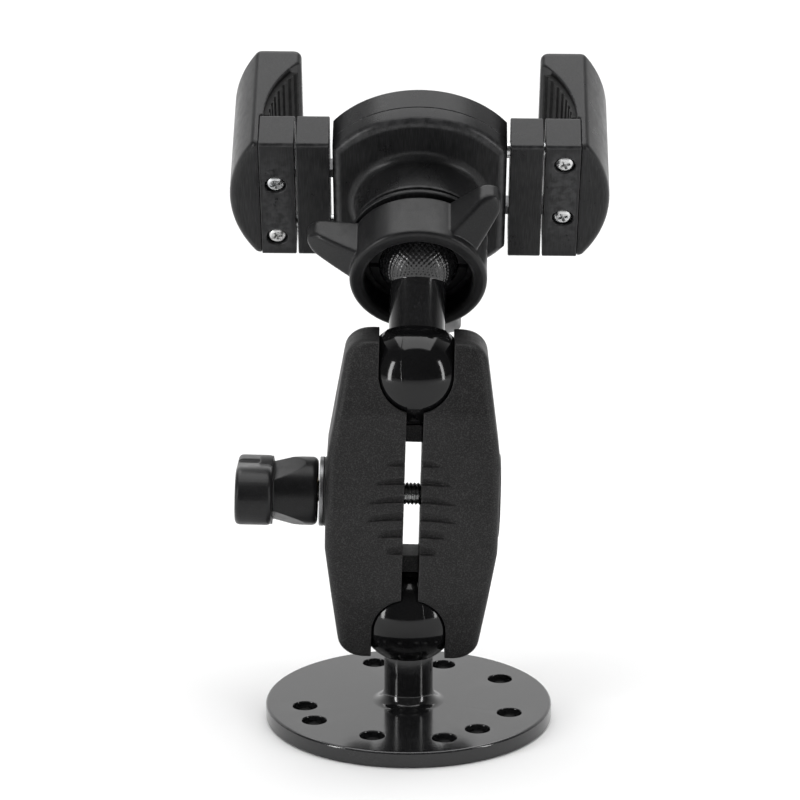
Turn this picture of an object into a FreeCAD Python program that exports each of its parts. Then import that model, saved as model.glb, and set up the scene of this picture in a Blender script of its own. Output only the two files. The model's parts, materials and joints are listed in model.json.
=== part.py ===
"""Phone mount: a round drill-down base, a clamped double-ball arm and a spring-jawed holder.

The row frame is the base plate's: origin at the centre of its underside, +Z up.
Four frames are chained on it: arm, stem, holder (its Z runs out of the ball socket) and,
for the left jaw, the holder turned half a turn about that Z.
"""
import FreeCAD
import Part
import Sketcher
import math
import os
import re

SIZES = [
    # base plate
    ("plate_radius", 31.75, "round base plate"),
    ("plate_thick", 3.7, "base plate"),
    ("plate_edge", 0.6, "bevel round the plate"),
    ("hole_radius", 2.7, "every hole through the plate"),
    ("rectangle_wide", 30.17, "four-hole pattern along X"),
    ("rectangle_long", 38.1, "four-hole pattern along Y"),
    ("triangle_radius", 23.3, "three-hole circle"),
    ("front_hole_out", 23.1, "single hole on -Y"),
    ("side_hole_out", 23.6, "single hole on +X"),
    ("post_radius", 5.4, "post under the lower ball"),
    ("post_cove", 2.85, "round at the foot of the post"),
    ("ball_lift", 20.6, "lower ball centre above the plate"),
    # balls
    ("ball_radius", 11.25, "rubber-covered balls"),
    ("cover_thick", 1.5, "rubber on the balls"),
    ("cover_gap", 0.15, "rubber to metal core"),
    ("neck_rim", 0.9, "flat ring of the cover round the neck"),
    ("neck_gap", 0.25, "cover to the post or stem"),
    # arm
    ("swivel", 20.0, "arm turned about the post, degrees"),
    ("arm_roll", 1.6, "arm tipped sideways, degrees"),
    ("ball_span", 55.0, "lower to upper ball centre"),
    ("arm_end", 8.5, "arm beyond each ball centre"),
    ("arm_half_wide", 18.8, "arm axis to its outer face at the bolt"),
    ("arm_end_wide", 14.9, "arm axis to its outer face at the ends"),
    ("arm_flat", 10.0, "half length of the flat outer face"),
    ("arm_half_deep", 12.0, "half depth at the bolt"),
    ("shoulder_deep", 10.4, "half depth at the shoulders"),
    ("shoulder_out", 21.15, "bolt to shoulder along the arm"),
    ("arm_end_deep", 6.5, "half depth at the ends"),
    ("arm_gap", 3.7, "between the two halves"),
    ("arm_corner", 4.0, "corners of the arm seen from the front"),
    ("arm_edge", 2.2, "rounded long edges of the arm"),
    ("socket_gap", 0.15, "socket to ball cover"),
    ("window_radius", 8.1, "open front of each socket"),
    ("window_reach", 6.35, "ball centre to the window's inner end"),
    ("key_start", 13.0, "bolt to the key in the gap"),
    ("key_half_deep", 4.0, "half depth of the key"),
    ("key_depth", 4.0, "key into the other half"),
    ("key_gap", 0.3, "key in its pocket"),
    ("groove_pitch", 4.0, "finger grooves along the arm"),
    ("groove_high", 0.8, "each groove"),
    ("groove_deep", 0.7, "each groove"),
    # clamp
    ("recess_radius", 9.5, "round recess in each outer face"),
    ("recess_deep", 0.6, "round recess in each outer face"),
    ("bolt_radius", 2.5, "clamp bolt"),
    ("bolt_gap", 0.25, "bolt in the arm and washers"),
    ("thread_gap", 0.05, "bolt in the knob's insert"),
    ("bolt_end", 29.5, "arm axis to the bolt's tip"),
    ("head_radius", 4.5, "bolt head"),
    ("head_high", 3.5, "bolt head"),
    ("head_sunk", 0.5, "bolt head under the cap"),
    ("cap_thick", 0.9, "cap over the bolt head"),
    ("cap_gap", 0.2, "cap in its recess"),
    ("cap_edge", 0.35, "rounded rim of the cap"),
    ("washer_radius", 7.6, "both knob washers"),
    ("washer_thick", 1.05, "each knob washer"),
    ("knob_gap", 0.3, "washer to knob"),
    ("hub_radius", 7.5, "knob hub"),
    ("hub_long", 9.8, "knob hub"),
    ("hub_edge", 1.2, "rounded inner edge of the hub"),
    ("wing_thick", 8.0, "knob wing along the bolt"),
    ("wing_long", 28.0, "knob wing"),
    ("lobe_radius", 6.35, "ends of the wing"),
    ("waist_half", 5.7, "half width of the wing at its middle"),
    ("notch_half", 2.4, "half length of the wing's narrow middle"),
    ("wing_edge", 1.1, "rounded edges of the wing"),
    ("wing_turn", -7.6, "knob turned about the bolt, degrees"),
    ("insert_radius", 4.0, "threaded insert"),
    ("insert_long", 7.5, "threaded insert"),
    # stem
    ("stem_radius", 6.1, "stem shaft"),
    ("stem_lean", 31.0, "stem leaning back from the arm, degrees"),
    ("stem_span", 26.4, "upper ball centre to socket ball centre"),
    ("tip_radius", 9.0, "knurled ball in the holder"),
    # ball socket of the holder
    ("socket_tilt", 28.0, "holder axis to stem axis, degrees"),
    ("holder_spin", 1.4, "holder turned to stand level, degrees"),
    ("socket_high", 17.0, "back of the disc to the socket ball's centre"),
    ("grip_gap", 0.15, "collet to ball"),
    ("collet_radius", 10.8, "outside of the collet"),
    ("collet_floor", 4.0, "bottom of the collet above the disc"),
    ("collet_top", 19.8, "lip of the collet above the disc"),
    ("collet_slot", 1.2, "slots in the collet"),
    ("slot_start", 12.5, "bottom of the slots above the disc"),
    ("collet_gap", 0.08, "collet in the boss"),
    ("boss_radius", 14.0, "boss behind the disc"),
    ("boss_cove", 2.2, "round at the foot of the boss"),
    ("boss_high", 11.5, "boss"),
    ("ridge_radius", 15.1, "ridge on the boss"),
    ("ridge_high", 1.0, "ridge on the boss"),
    ("sleeve_radius", 12.4, "threaded sleeve over the boss"),
    ("sleeve_top", 19.0, "top of the sleeve above the disc"),
    ("nut_radius", 15.0, "ring nut"),
    ("nut_start", 13.8, "rear of the ring nut above the disc"),
    ("nut_end", 25.0, "front of the ring nut above the disc"),
    ("nut_thread_gap", 0.1, "ring nut on the sleeve"),
    ("nut_step", 0.6, "ring nut's inner step above the sleeve"),
    ("nut_mouth", 11.8, "opening of the ring nut"),
    ("nut_bevel", 0.9, "bevel at the mouth and round of the rim"),
    ("wing_tip_out", 24.8, "nut axis to the wing tips"),
    ("wing_root_half", 4.3, "half width of a wing at its root"),
    ("wing_tip_half", 2.6, "half width of a wing at its tip"),
    ("wing_root_out", 13.4, "nut axis to where a wing starts inside the ring"),
    ("wing_tip_high", 3.4, "wing tip along the nut's axis"),
    ("wing_first", 47.5, "first wing about the nut's axis, degrees"),
    # disc
    ("disc_radius", 24.2, "disc of the holder"),
    ("disc_half_wide", 19.2, "disc axis to the flats"),
    ("disc_thick", 10.6, "disc"),
    ("seam", 4.7, "back of the disc to the seam"),
    ("disc_edge", 2.0, "rounded back edge of the disc"),
    ("works_deep", 5.0, "back of the disc to the middle of rods and racks"),
    ("pad_radius", 21.0, "rubber pad"),
    ("pad_thick", 1.2, "rubber pad"),
    ("pad_half_wide", 17.4, "rubber pad to its flats"),
    ("case_screw_x", 8.0, "housing screws"),
    ("case_screw_y", 19.0, "housing screws"),
    ("case_screw_radius", 1.2, "housing screws"),
    ("case_head_radius", 2.1, "housing screws"),
    ("case_head_high", 1.6, "housing screws"),
    ("case_screw_long", 7.5, "housing screws"),
    # gear and racks
    ("teeth", 10, "pinion teeth"),
    ("pitch_radius", 3.4, "pinion pitch circle"),
    ("tooth_out", 0.55, "tooth beyond the pitch line"),
    ("tooth_in", 0.85, "tooth root inside the pitch line"),
    ("tooth_root_half", 0.62, "half tooth at the root"),
    ("tooth_tip_half", 0.22, "half tooth at the tip"),
    ("pinion_thick", 3.6, "pinion"),
    ("axle_radius", 1.2, "pinion axle"),
    ("axle_gap", 0.05, "pinion on its axle"),
    ("axle_long", 7.4, "pinion axle"),
    ("axle_edge", 0.2, "rounded ends of the axle"),
    ("rack_line", 4.6, "disc axis to the middle of a rack"),
    ("rack_half", 2.0, "half width of a rack"),
    ("rack_thick", 3.6, "rack"),
    ("rack_tail", 16.2, "disc axis to the rack's inner end"),
    ("slide_gap", 0.2, "racks and rods in their channels"),
    ("channel_end", 17.0, "disc axis to the blind end of a channel"),
    ("rod_line", 11.4, "disc axis to a guide rod"),
    ("rod_radius", 1.8, "guide rod"),
    ("rod_gap", 0.08, "guide rod in its wall"),
    ("rod_tail", 15.6, "disc axis to the rod's inner end"),
    ("collar_radius", 2.9, "collar at the rod's inner end"),
    ("collar_thick", 1.2, "collar at the rod's inner end"),
    ("spring_channel", 3.2, "radius of the spring channel"),
    ("coil_radius", 2.45, "spring coil"),
    ("wire_radius", 0.3, "spring wire"),
    # jaws
    ("jaw_half_long", 16.95, "half length of the jaw blocks"),
    ("block_deep", 9.8, "jaw blocks, back to front"),
    ("mid_start", 19.9, "disc axis to the middle block"),
    ("mid_wide", 7.3, "middle block"),
    ("jaw_gap", 0.4, "middle block to jaw block"),
    ("jaw_wide", 7.8, "jaw block"),
    ("head_wall", 0.8, "jaw block beyond the ends of rack and rod"),
    ("block_edge", 0.8, "rounded long edges of the blocks"),
    ("shell_wide", 6.8, "outer shell"),
    ("shell_round", 28.5, "outline radius of the shell"),
    ("shell_deep", 31.6, "outer shell, back to front"),
    ("hook_tip", 26.8, "disc axis to the tip of the hook"),
    ("hook_round", 24.4, "radius of the hook's inside"),
    ("hook_inside", 34.6, "disc axis to the hook's inside at the block"),
    ("shell_edge", 1.4, "rounded edges of the shell"),
    ("grip_thick", 1.2, "rubber in the hook"),
    ("grip_half_long", 15.4, "half length of the rubber in the hook"),
    ("grip_start", 1.5, "rubber starts this far in front of the block"),
    ("grip_end", 15.5, "rubber ends this far in front of the block"),
    ("screw_out", 31.9, "disc axis to the jaw screws"),
    ("screw_radius", 1.0, "jaw screws"),
    ("screw_head", 2.0, "jaw screws"),
    ("screw_recess", 2.4, "recess round a jaw screw's head"),
    ("recess_floor", 1.5, "recess round a jaw screw's head"),
    ("head_proud", 0.2, "screw head under the block's back"),
    ("screw_long", 8.2, "jaw screws from the block's back"),
]
GROOVE_LENGTHS = (4.0, 6.0, 8.5, 8.5, 7.0, 4.5)
NAMES = {alias for alias, _, _ in SIZES}

doc = FreeCAD.newDocument("PhoneMount")
sheet = doc.addObject("Spreadsheet::Sheet", "Sizes")
for row, (alias, amount, meaning) in enumerate(SIZES, 1):
    sheet.set(f"A{row}", str(amount))
    sheet.setAlias(f"A{row}", alias)
    sheet.set(f"B{row}", meaning)
doc.recompute()
NODES = []


# ---------------------------------------------------------------- formulas and placements

def formula(text):
    """Turn the sheet's names in a formula into references to the sheet."""
    return re.sub(r"[a-z_]+", lambda word: "Sizes." + word[0] if word[0] in NAMES else word[0], str(text))


def number(text):
    """Value of a formula now."""
    return float(sheet.evalExpression(formula(text)))


def bind(thing, prop, text):
    """Tie a property to a formula in the sheet's names."""
    thing.setExpression(prop, formula(text))


def move(x="0", y="0", z="0"):
    """Formula of a plain shift."""
    return f"placement(vector({x};{y};{z});rotation(vector(0;0;1);0))"


def turn(axis, angle, x="0", y="0", z="0"):
    """Formula of a shift followed by a turn about one axis."""
    way = {"x": "1;0;0", "y": "0;1;0", "z": "0;0;1"}[axis]
    return f"placement(vector({x};{y};{z});rotation(vector({way});{angle}))"


BASE = move()
ARM = turn("z", "swivel", z="plate_thick + ball_lift") + "*" + turn("y", "arm_roll")
STEM = ARM + "*" + turn("x", "-stem_lean", z="ball_span")
SOCKET = STEM + "*" + turn("x", "180 - socket_tilt", z="stem_span")
HOLDER = SOCKET + "*" + turn("z", "holder_spin", z="-socket_high")
SIDE_FRAMES = {"right": HOLDER, "left": HOLDER + "*" + turn("z", "180")}
BOLT_Z = "ball_span / 2"


def node(thing, label, frame):
    """Name a finished sub-part and put it in its frame."""
    thing.Label = label
    bind(thing, "Placement", frame)
    NODES.append(thing)
    return thing


# ---------------------------------------------------------------- primitives and booleans

def box(name, x, y, z):
    """Block between a low and a high formula on each axis."""
    solid = doc.addObject("Part::Box", name)
    for side, axis, (low, high) in zip(("Length", "Width", "Height"), "xyz", (x, y, z)):
        bind(solid, side, f"({high}) - ({low})")
        bind(solid, f"Placement.Base.{axis}", low)
    return solid


def rod(name, axis, radius, low, high, across=("0", "0")):
    """Cylinder along an axis between two formulas; across gives its other two coordinates in order."""
    solid = doc.addObject("Part::Cylinder", name)
    bind(solid, "Radius", radius)
    bind(solid, "Height", f"({high}) - ({low})")
    turned = {"x": FreeCAD.Rotation(0, 90, 0), "y": FreeCAD.Rotation(0, 0, -90), "z": FreeCAD.Rotation()}
    solid.Placement = FreeCAD.Placement(FreeCAD.Vector(), turned[axis])
    bind(solid, f"Placement.Base.{axis}", low)
    for other, place in zip([a for a in "xyz" if a != axis], across):
        bind(solid, f"Placement.Base.{other}", place)
    return solid


def ball(name, radius, z="0"):
    """Sphere on the Z axis."""
    solid = doc.addObject("Part::Sphere", name)
    bind(solid, "Radius", radius)
    bind(solid, "Placement.Base.z", z)
    return solid


def fuse(name, *solids):
    """One solid from several."""
    joined = doc.addObject("Part::MultiFuse", name)
    joined.Shapes = list(solids)
    joined.Refine = True
    return joined


def common(name, *solids):
    """What several solids share."""
    shared = doc.addObject("Part::MultiCommon", name)
    shared.Shapes = list(solids)
    return shared


def cut(name, base, *tools):
    """A solid less the others."""
    left = doc.addObject("Part::Cut", name)
    left.Base = base
    left.Tool = tools[0] if len(tools) == 1 else fuse(name + "_tools", *tools)
    return left


def rounded(name, base, radius, wanted):
    """Fillet the edges that a test picks."""
    doc.recompute()
    size = number(radius)
    picked = [i for i, edge in enumerate(base.Shape.Edges, 1) if wanted(edge)]
    solid = doc.addObject("Part::Fillet", name)
    solid.Base = base
    solid.Edges = [(i, size, size) for i in picked]
    return solid


# ---------------------------------------------------------------- sketched bodies

def body_with(name):
    """Empty PartDesign body."""
    return doc.addObject("PartDesign::Body", name)


def blank_sketch(body, name, role):
    """Sketch on one of the body's own origin planes."""
    sketch = body.newObject("Sketcher::SketchObject", name)
    plane = next(item for item in body.Origin.OriginFeatures if item.Role == role)
    sketch.AttachmentSupport = [(plane, "")]
    sketch.MapMode = "FlatFace"
    return sketch


def pin(sketch, piece, point, x, y):
    """Hold one point of a sketch at a pair of formulas."""
    for way, text in (("DistanceX", x), ("DistanceY", y)):
        index = sketch.addConstraint(Sketcher.Constraint(way, -1, 1, piece, point, number(text)))
        bind(sketch, f"Constraints[{index}]", text)


def outline(body, name, role, corners):
    """Closed outline; a corner (x, y, radius, side) starts an arc whose centre is on that side."""
    sketch = blank_sketch(body, name, role)
    spots = [FreeCAD.Vector(number(c[0]), number(c[1]), 0) for c in corners]
    ends = []
    for index, corner in enumerate(corners):
        here = spots[index]
        there = spots[(index + 1) % len(spots)]
        if len(corner) == 2:
            sketch.addGeometry(Part.LineSegment(here, there), False)
            ends.append((1, 2))
            continue
        radius = number(corner[2])
        half = (there - here) * 0.5
        left = FreeCAD.Vector(-half.y, half.x, 0).normalize()
        centre = here + half + left * corner[3] * math.sqrt(radius ** 2 - half.Length ** 2)
        first, last = (here, there) if corner[3] > 0 else (there, here)
        angles = [math.atan2(spot.y - centre.y, spot.x - centre.x) for spot in (first, last)]
        circle = Part.Circle(centre, FreeCAD.Vector(0, 0, 1), radius)
        sketch.addGeometry(Part.ArcOfCircle(circle, *angles), False)
        ends.append((1, 2) if corner[3] > 0 else (2, 1))
    for index, corner in enumerate(corners):
        after = (index + 1) % len(corners)
        sketch.addConstraint(Sketcher.Constraint("Coincident", index, ends[index][1], after, ends[after][0]))
    for index, corner in enumerate(corners):
        pin(sketch, index, ends[index][0], corner[0], corner[1])
        if len(corner) > 2:
            place = sketch.addConstraint(Sketcher.Constraint("Radius", index, number(corner[2])))
            bind(sketch, f"Constraints[{place}]", corner[2])
    return sketch


def circles(body, name, role, radius, centres):
    """Sketch of equal circles."""
    sketch = blank_sketch(body, name, role)
    for index, (x, y) in enumerate(centres):
        middle = FreeCAD.Vector(number(x), number(y), 0)
        sketch.addGeometry(Part.Circle(middle, FreeCAD.Vector(0, 0, 1), number(radius)), False)
        pin(sketch, index, 3, x, y)
        place = sketch.addConstraint(Sketcher.Constraint("Radius", index, number(radius)))
        bind(sketch, f"Constraints[{place}]", radius)
    return sketch


def pad(body, sketch, length, both_ways=False):
    """Pad a sketch along its normal, or half to each side of it."""
    feature = body.newObject("PartDesign::Pad", sketch.Name + "_pad")
    feature.Profile = sketch
    bind(feature, "Length", length)
    feature.SideType = "Symmetric" if both_ways else "One side"
    return feature


def revolve(body, sketch):
    """Turn a sketch once round its vertical axis."""
    feature = body.newObject("PartDesign::Revolution", sketch.Name + "_turned")
    feature.Profile = sketch
    feature.ReferenceAxis = (sketch, ["V_Axis"])
    feature.Angle = 360
    return feature


def turned_body(name, corners):
    """Body turned from an outline in the XZ plane."""
    body = body_with(name)
    revolve(body, outline(body, name + "_outline", "XZ_Plane", corners))
    return body


def dress(body, kind, name, prop, amount, wanted):
    """Fillet or chamfer the body's edges that a test picks."""
    doc.recompute()
    tip = body.Tip
    names = [f"Edge{i}" for i, edge in enumerate(tip.Shape.Edges, 1) if wanted(edge)]
    feature = body.newObject(kind, name)
    feature.Base = (tip, names)
    bind(feature, prop, amount)
    return feature


def is_round(edge):
    """Whether an edge is a circle or part of one."""
    return not edge.Degenerated and hasattr(edge.Curve, "Radius")


def is_circle(edge, radius):
    """Whether an edge is a circle of about this radius."""
    return is_round(edge) and abs(edge.Curve.Radius - radius) < 1e-4


# ---------------------------------------------------------------- base

def base_plate():
    """Plate, post and ball core in one casting, drilled with nine holes."""
    body = body_with("plate")
    pad(body, circles(body, "plate_round", "XY_Plane", "plate_radius", [("0", "0")]), "plate_thick")
    centre = "plate_thick + ball_lift"
    core = "ball_radius - cover_thick"
    revolve(body, outline(body, "post_outline", "XZ_Plane", [
        ("0", "plate_thick / 2"),
        ("post_radius + post_cove", "plate_thick / 2"),
        ("post_radius + post_cove", "plate_thick", "post_cove", -1),
        ("post_radius", "plate_thick + post_cove"),
        ("post_radius", f"{centre} - sqrt(({core})^2 - post_radius^2)", core, 1),
        ("0", f"{centre} + {core}")]))
    corners = [(f"{i} * rectangle_wide / 2", f"{j} * rectangle_long / 2") for i in (-1, 1) for j in (-1, 1)]
    triangle = [(f"triangle_radius * cos({a})", f"triangle_radius * sin({a})") for a in (90, 210, 330)]
    singles = [("0", "-front_hole_out"), ("side_hole_out", "0")]
    holes = circles(body, "plate_holes", "XY_Plane", "hole_radius", corners + triangle + singles)
    drill = body.newObject("PartDesign::Pocket", "plate_drilled")
    drill.Profile = holes
    drill.Type = 0
    bind(drill, "Length", "3 * plate_thick")
    drill.SideType = "Symmetric"
    rim = number("plate_radius")
    dress(body, "PartDesign::Chamfer", "plate_bevel", "Size", "plate_edge", lambda edge: is_circle(edge, rim))
    node(body, "base_plate", BASE)


def ball_cover(label, neck, frame):
    """Rubber shell on a ball core, flat where the neck leaves it towards -Z."""
    inner = "(ball_radius - cover_thick + cover_gap)"
    hole = f"({neck} + neck_gap)"
    flat = f"-sqrt(ball_radius^2 - ({hole} + neck_rim)^2)"
    body = turned_body(label + "_shell", [
        (hole, flat),
        (f"{hole} + neck_rim", flat, "ball_radius", 1),
        ("0", "ball_radius"),
        ("0", inner, inner, -1),
        (hole, f"-sqrt({inner}^2 - {hole}^2)")])
    node(body, label, frame)


# ---------------------------------------------------------------- arm

def half_depth(out):
    """Half depth of the arm at a distance from the bolt that is short of the shoulder."""
    return f"(arm_half_deep - (arm_half_deep - shoulder_deep) * ({out}) / shoulder_out)"


def arm_blank(side, sign):
    """Outside of one half: its front outline held inside the arm's side outline."""
    low, high, mid = "-arm_end", "ball_span + arm_end", BOLT_Z
    front = body_with(f"arm_front_{side}")
    pad(front, outline(front, f"arm_front_{side}_outline", "XZ_Plane", [
        (f"{sign} * arm_gap / 2", low),
        (f"{sign} * arm_end_wide", low),
        (f"{sign} * arm_half_wide", f"{mid} - arm_flat"),
        (f"{sign} * arm_half_wide", f"{mid} + arm_flat"),
        (f"{sign} * arm_end_wide", high),
        (f"{sign} * arm_gap / 2", high)]), "3 * arm_half_deep", True)
    ends = [number(low), number(high)]
    inside = number("arm_gap")

    def is_outer_corner(edge):
        """Whether an edge is one of the two outer end corners, along Y."""
        spot = edge.CenterOfMass
        return abs(spot.x) > inside and min(abs(spot.z - end) for end in ends) < 1e-4 and abs(spot.y) < 1e-4 \
            and abs(edge.tangentAt(edge.FirstParameter).y) > 0.99

    dress(front, "PartDesign::Fillet", f"arm_corner_{side}", "Radius", "arm_corner", is_outer_corner)
    profile = body_with(f"arm_side_{side}")
    front_line = [
        ("-arm_end_deep", low),
        ("-shoulder_deep", f"{mid} - shoulder_out"),
        ("-arm_half_deep", mid),
        ("-shoulder_deep", f"{mid} + shoulder_out"),
        ("-arm_end_deep", high)]
    back_line = [(f"-({y})", z) for y, z in reversed(front_line)]
    pad(profile, outline(profile, f"arm_side_{side}_outline", "YZ_Plane", front_line + back_line),
        "3 * arm_half_wide", True)
    blank = common(f"arm_blank_{side}", front, profile)
    gap_face = number("arm_gap / 2")

    def is_long_edge(edge):
        """Whether an edge runs along the arm on its outer side."""
        spot = edge.CenterOfMass
        way = edge.tangentAt(edge.FirstParameter)
        return abs(spot.x) > gap_face + 1 and abs(way.z) > 0.9 and len(edge.Vertexes) == 2

    return rounded(f"arm_rounded_{side}", blank, "arm_edge", is_long_edge)


def arm_cuts(side, sign):
    """Sockets, windows, recess, bolt bore and finger grooves of one half."""
    tools = []
    reach = "window_reach - window_radius"
    for end, centre, way in (("low", "0", 1), ("high", "ball_span", -1)):
        tools.append(ball(f"socket_{end}_{side}", "ball_radius + socket_gap", centre))
        middle = f"{centre} + {way} * ({reach})"
        tools.append(rod(f"window_{end}_{side}", "y", "window_radius", "-2 * arm_half_deep",
                         "2 * arm_half_deep", ("0", middle)))
        edges = sorted([middle, f"{centre} - {way} * 2 * arm_end"], key=number)
        tools.append(box(f"window_{end}_open_{side}", ("-window_radius", "window_radius"),
                         ("-2 * arm_half_deep", "2 * arm_half_deep"), edges))
    face, floor = f"{sign} * 2 * arm_half_wide", f"{sign} * (arm_half_wide - recess_deep)"
    tools.append(rod(f"recess_{side}", "x", "recess_radius", *sorted([face, floor], key=number), ("0", BOLT_Z)))
    tools.append(rod(f"bore_{side}", "x", "bolt_radius + bolt_gap", *sorted(["0", face], key=number), ("0", BOLT_Z)))
    for place, length in enumerate(GROOVE_LENGTHS):
        step = place - (len(GROOVE_LENGTHS) - 1) / 2
        middle = f"{BOLT_Z} + {step} * groove_pitch"
        skin = half_depth(f"{abs(step)} * groove_pitch")
        width = sorted(["0", f"{sign} * (arm_gap / 2 + {length})"], key=number)
        for face_name, front in (("front", -1), ("rear", 1)):
            depth = sorted([f"{front} * ({skin} - groove_deep)", f"{front} * 2 * arm_half_deep"], key=number)
            tools.append(box(f"groove_{face_name}_{place}_{side}", width, depth,
                             (f"{middle} - groove_high / 2", f"{middle} + groove_high / 2")))
    return tools


def key_block(name, way, gap):
    """Key that lines the halves up, across the gap on one side of the bolt."""
    inner = f"{BOLT_Z} + {way} * (key_start - {gap})"
    outer = f"{BOLT_Z} + {way} * (ball_span / 2 - window_reach + {gap})"
    return box(name, (f"-arm_gap / 2 - key_depth - {gap}", "arm_gap / 2 + 1"),
               (f"-key_half_deep - {gap}", f"key_half_deep + {gap}"), sorted([inner, outer], key=number))


def arm_halves():
    """Right half with the key, left half with the key's pocket."""
    keys = [key_block(f"key_{n}", w, "0") for n, w in (("low", -1), ("high", 1))]
    right = fuse("arm_right_keyed", arm_blank("right", 1), *keys)
    head_room = rod("head_room", "x", "head_radius + bolt_gap",
                    "arm_half_wide - recess_deep - head_sunk - head_high", "2 * arm_half_wide", ("0", BOLT_Z))
    node(cut("arm_right", right, *arm_cuts("right", 1), head_room), "arm_right_half", ARM)
    pockets = [key_block(f"key_pocket_{n}", w, "key_gap") for n, w in (("low", -1), ("high", 1))]
    node(cut("arm_left", arm_blank("left", -1), *arm_cuts("left", -1), *pockets), "arm_left_half", ARM)


def clamp():
    """Bolt, cap and washers across the arm; X runs along the bolt."""
    at = ("0", BOLT_Z)
    head_out = "arm_half_wide - recess_deep - head_sunk"
    head = rod("bolt_head", "x", "head_radius", f"{head_out} - head_high", head_out, at)
    shank = rod("bolt_shank", "x", "bolt_radius", "-bolt_end", f"{head_out} - head_high / 2", at)
    node(fuse("bolt", head, shank), "clamp_bolt", ARM)
    floor = "arm_half_wide - recess_deep"
    face = number(f"{floor} + cap_thick")
    cap = rounded("cap_rounded", rod("cap", "x", "recess_radius - cap_gap", floor, f"{floor} + cap_thick", at),
                  "cap_edge", lambda edge: abs(edge.BoundBox.XMin - face) < 1e-3)
    node(cap, "bolt_cap", ARM)
    for index, label in enumerate(("knob_washer_inner", "knob_washer_outer")):
        start = f"-({floor} + {index} * washer_thick)"
        disc = rod(f"washer_disc_{index}", "x", "washer_radius", f"{start} - washer_thick", start, at)
        hole = rod(f"washer_hole_{index}", "x", "bolt_radius + bolt_gap", "-2 * arm_half_wide", "0", at)
        node(cut(f"washer_{index}", disc, hole), label, ARM)


def knob():
    """Hub and T-shaped wing on the bolt, with a threaded insert; its own Z is the bolt's outward axis."""
    frame = (ARM + "*" + turn("y", "-90", x="-(arm_half_wide - recess_deep + 2 * washer_thick + knob_gap)", z=BOLT_Z)
             + "*" + turn("z", "-wing_turn"))
    top = "hub_long + wing_thick"
    hub = rounded("hub_rounded", rod("hub", "z", "hub_radius", "0", "hub_long + wing_thick / 2"), "hub_edge",
                  lambda edge: abs(edge.CenterOfMass.z) < 1e-4)
    lobe_out = "(wing_long / 2 - lobe_radius)"
    lobes = [rod(f"lobe_{n}", "z", "lobe_radius", "hub_long", top, ("0", f"{w} * {lobe_out}"))
             for n, w in (("near", -1), ("far", 1))]
    middle = box("wing_middle", ("-lobe_radius", "lobe_radius"), (f"-{lobe_out}", lobe_out), ("hub_long", top))
    ends = [number("hub_long"), number(top)]
    wing = rounded("wing_rounded", fuse("wing", middle, *lobes), "wing_edge",
                   lambda edge: min(abs(edge.BoundBox.ZMin - z) + abs(edge.BoundBox.ZMax - z) for z in ends) < 1e-3)
    notches = [box(f"notch_{n}", sorted([f"{w} * waist_half", f"{w} * 2 * lobe_radius"], key=number),
                   ("-notch_half", "notch_half"), ("hub_long - 1", f"{top} + 1")) for n, w in (("low", -1), ("high", 1))]
    wing = cut("wing_waisted", wing, *notches)
    pocket = rod("insert_pocket", "z", "insert_radius", "0", "insert_long")
    bore = rod("knob_bore", "z", "bolt_radius + bolt_gap", "0", f"{top} - wing_thick / 2")
    node(cut("knob", fuse("knob_solid", hub, wing), pocket, bore), "knob_grip", frame)
    slug = rod("insert_slug", "z", "insert_radius", "0", "insert_long")
    thread = rod("insert_thread", "z", "bolt_radius + thread_gap", "-1", "insert_long + 1")
    node(cut("insert", slug, thread), "knob_insert", frame)


def stem():
    """Ball core, shaft and knurled ball in one turned piece."""
    core = "(ball_radius - cover_thick)"
    node(turned_body("stem_piece", [
        ("0", f"-{core}", core, 1),
        ("stem_radius", f"sqrt({core}^2 - stem_radius^2)"),
        ("stem_radius", "stem_span - sqrt(tip_radius^2 - stem_radius^2)", "tip_radius", 1),
        ("0", "stem_span + tip_radius")]), "stem", STEM)


# ---------------------------------------------------------------- holder

def collet():
    """Slotted cup that grips the knurled ball."""
    cup = rod("collet_cup", "z", "collet_radius", "collet_floor", "collet_top")
    tools = [ball("collet_seat", "tip_radius + grip_gap", "socket_high")]
    for name, x, y in (("across", "2 * collet_radius", "collet_slot / 2"),
                       ("along", "collet_slot / 2", "2 * collet_radius")):
        tools.append(box(f"slot_{name}", (f"-{x}", x), (f"-{y}", y), ("slot_start", "collet_top + 1")))
    node(cut("collet_cut", cup, *tools), "collet", HOLDER)


def ring_nut():
    """Ring with three wings that taper outwards and forwards."""
    ring = turned_body("nut_ring", [
        ("sleeve_radius + nut_thread_gap", "nut_start"),
        ("nut_radius", "nut_start"),
        ("nut_radius", "nut_end - nut_bevel", "nut_bevel", 1),
        ("nut_radius - nut_bevel", "nut_end"),
        ("nut_mouth + nut_bevel", "nut_end"),
        ("nut_mouth", "nut_end - nut_bevel"),
        ("nut_mouth", "sleeve_top + nut_step"),
        ("sleeve_radius + nut_thread_gap", "sleeve_top + nut_step")])
    wings = []
    for index in range(3):
        wing = doc.addObject("Part::Wedge", f"nut_wing_{index}")
        for prop, text in (
                ("Xmin", "-wing_root_half"), ("Xmax", "wing_root_half"), ("Ymin", "wing_root_out"),
                ("Ymax", "wing_tip_out"), ("Zmin", "0"), ("Zmax", "nut_end - nut_start - nut_bevel"),
                ("X2min", "-wing_tip_half"), ("X2max", "wing_tip_half"), ("Z2min", "0"), ("Z2max", "wing_tip_high")):
            bind(wing, prop, text)
        bind(wing, "Placement", turn("z", f"wing_first + {120 * index} - 90", z="nut_start"))
        wings.append(wing)
    node(fuse("nut", ring, *wings), "ring_nut", HOLDER)


def disc_slab(name, radius, half_wide, low, high):
    """Round slab with a flat on each side."""
    return common(name, rod(name + "_round", "z", radius, low, high),
                  box(name + "_flats", (f"-{half_wide}", half_wide), ("-2 * disc_radius", "2 * disc_radius"), (low, high)))


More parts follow.
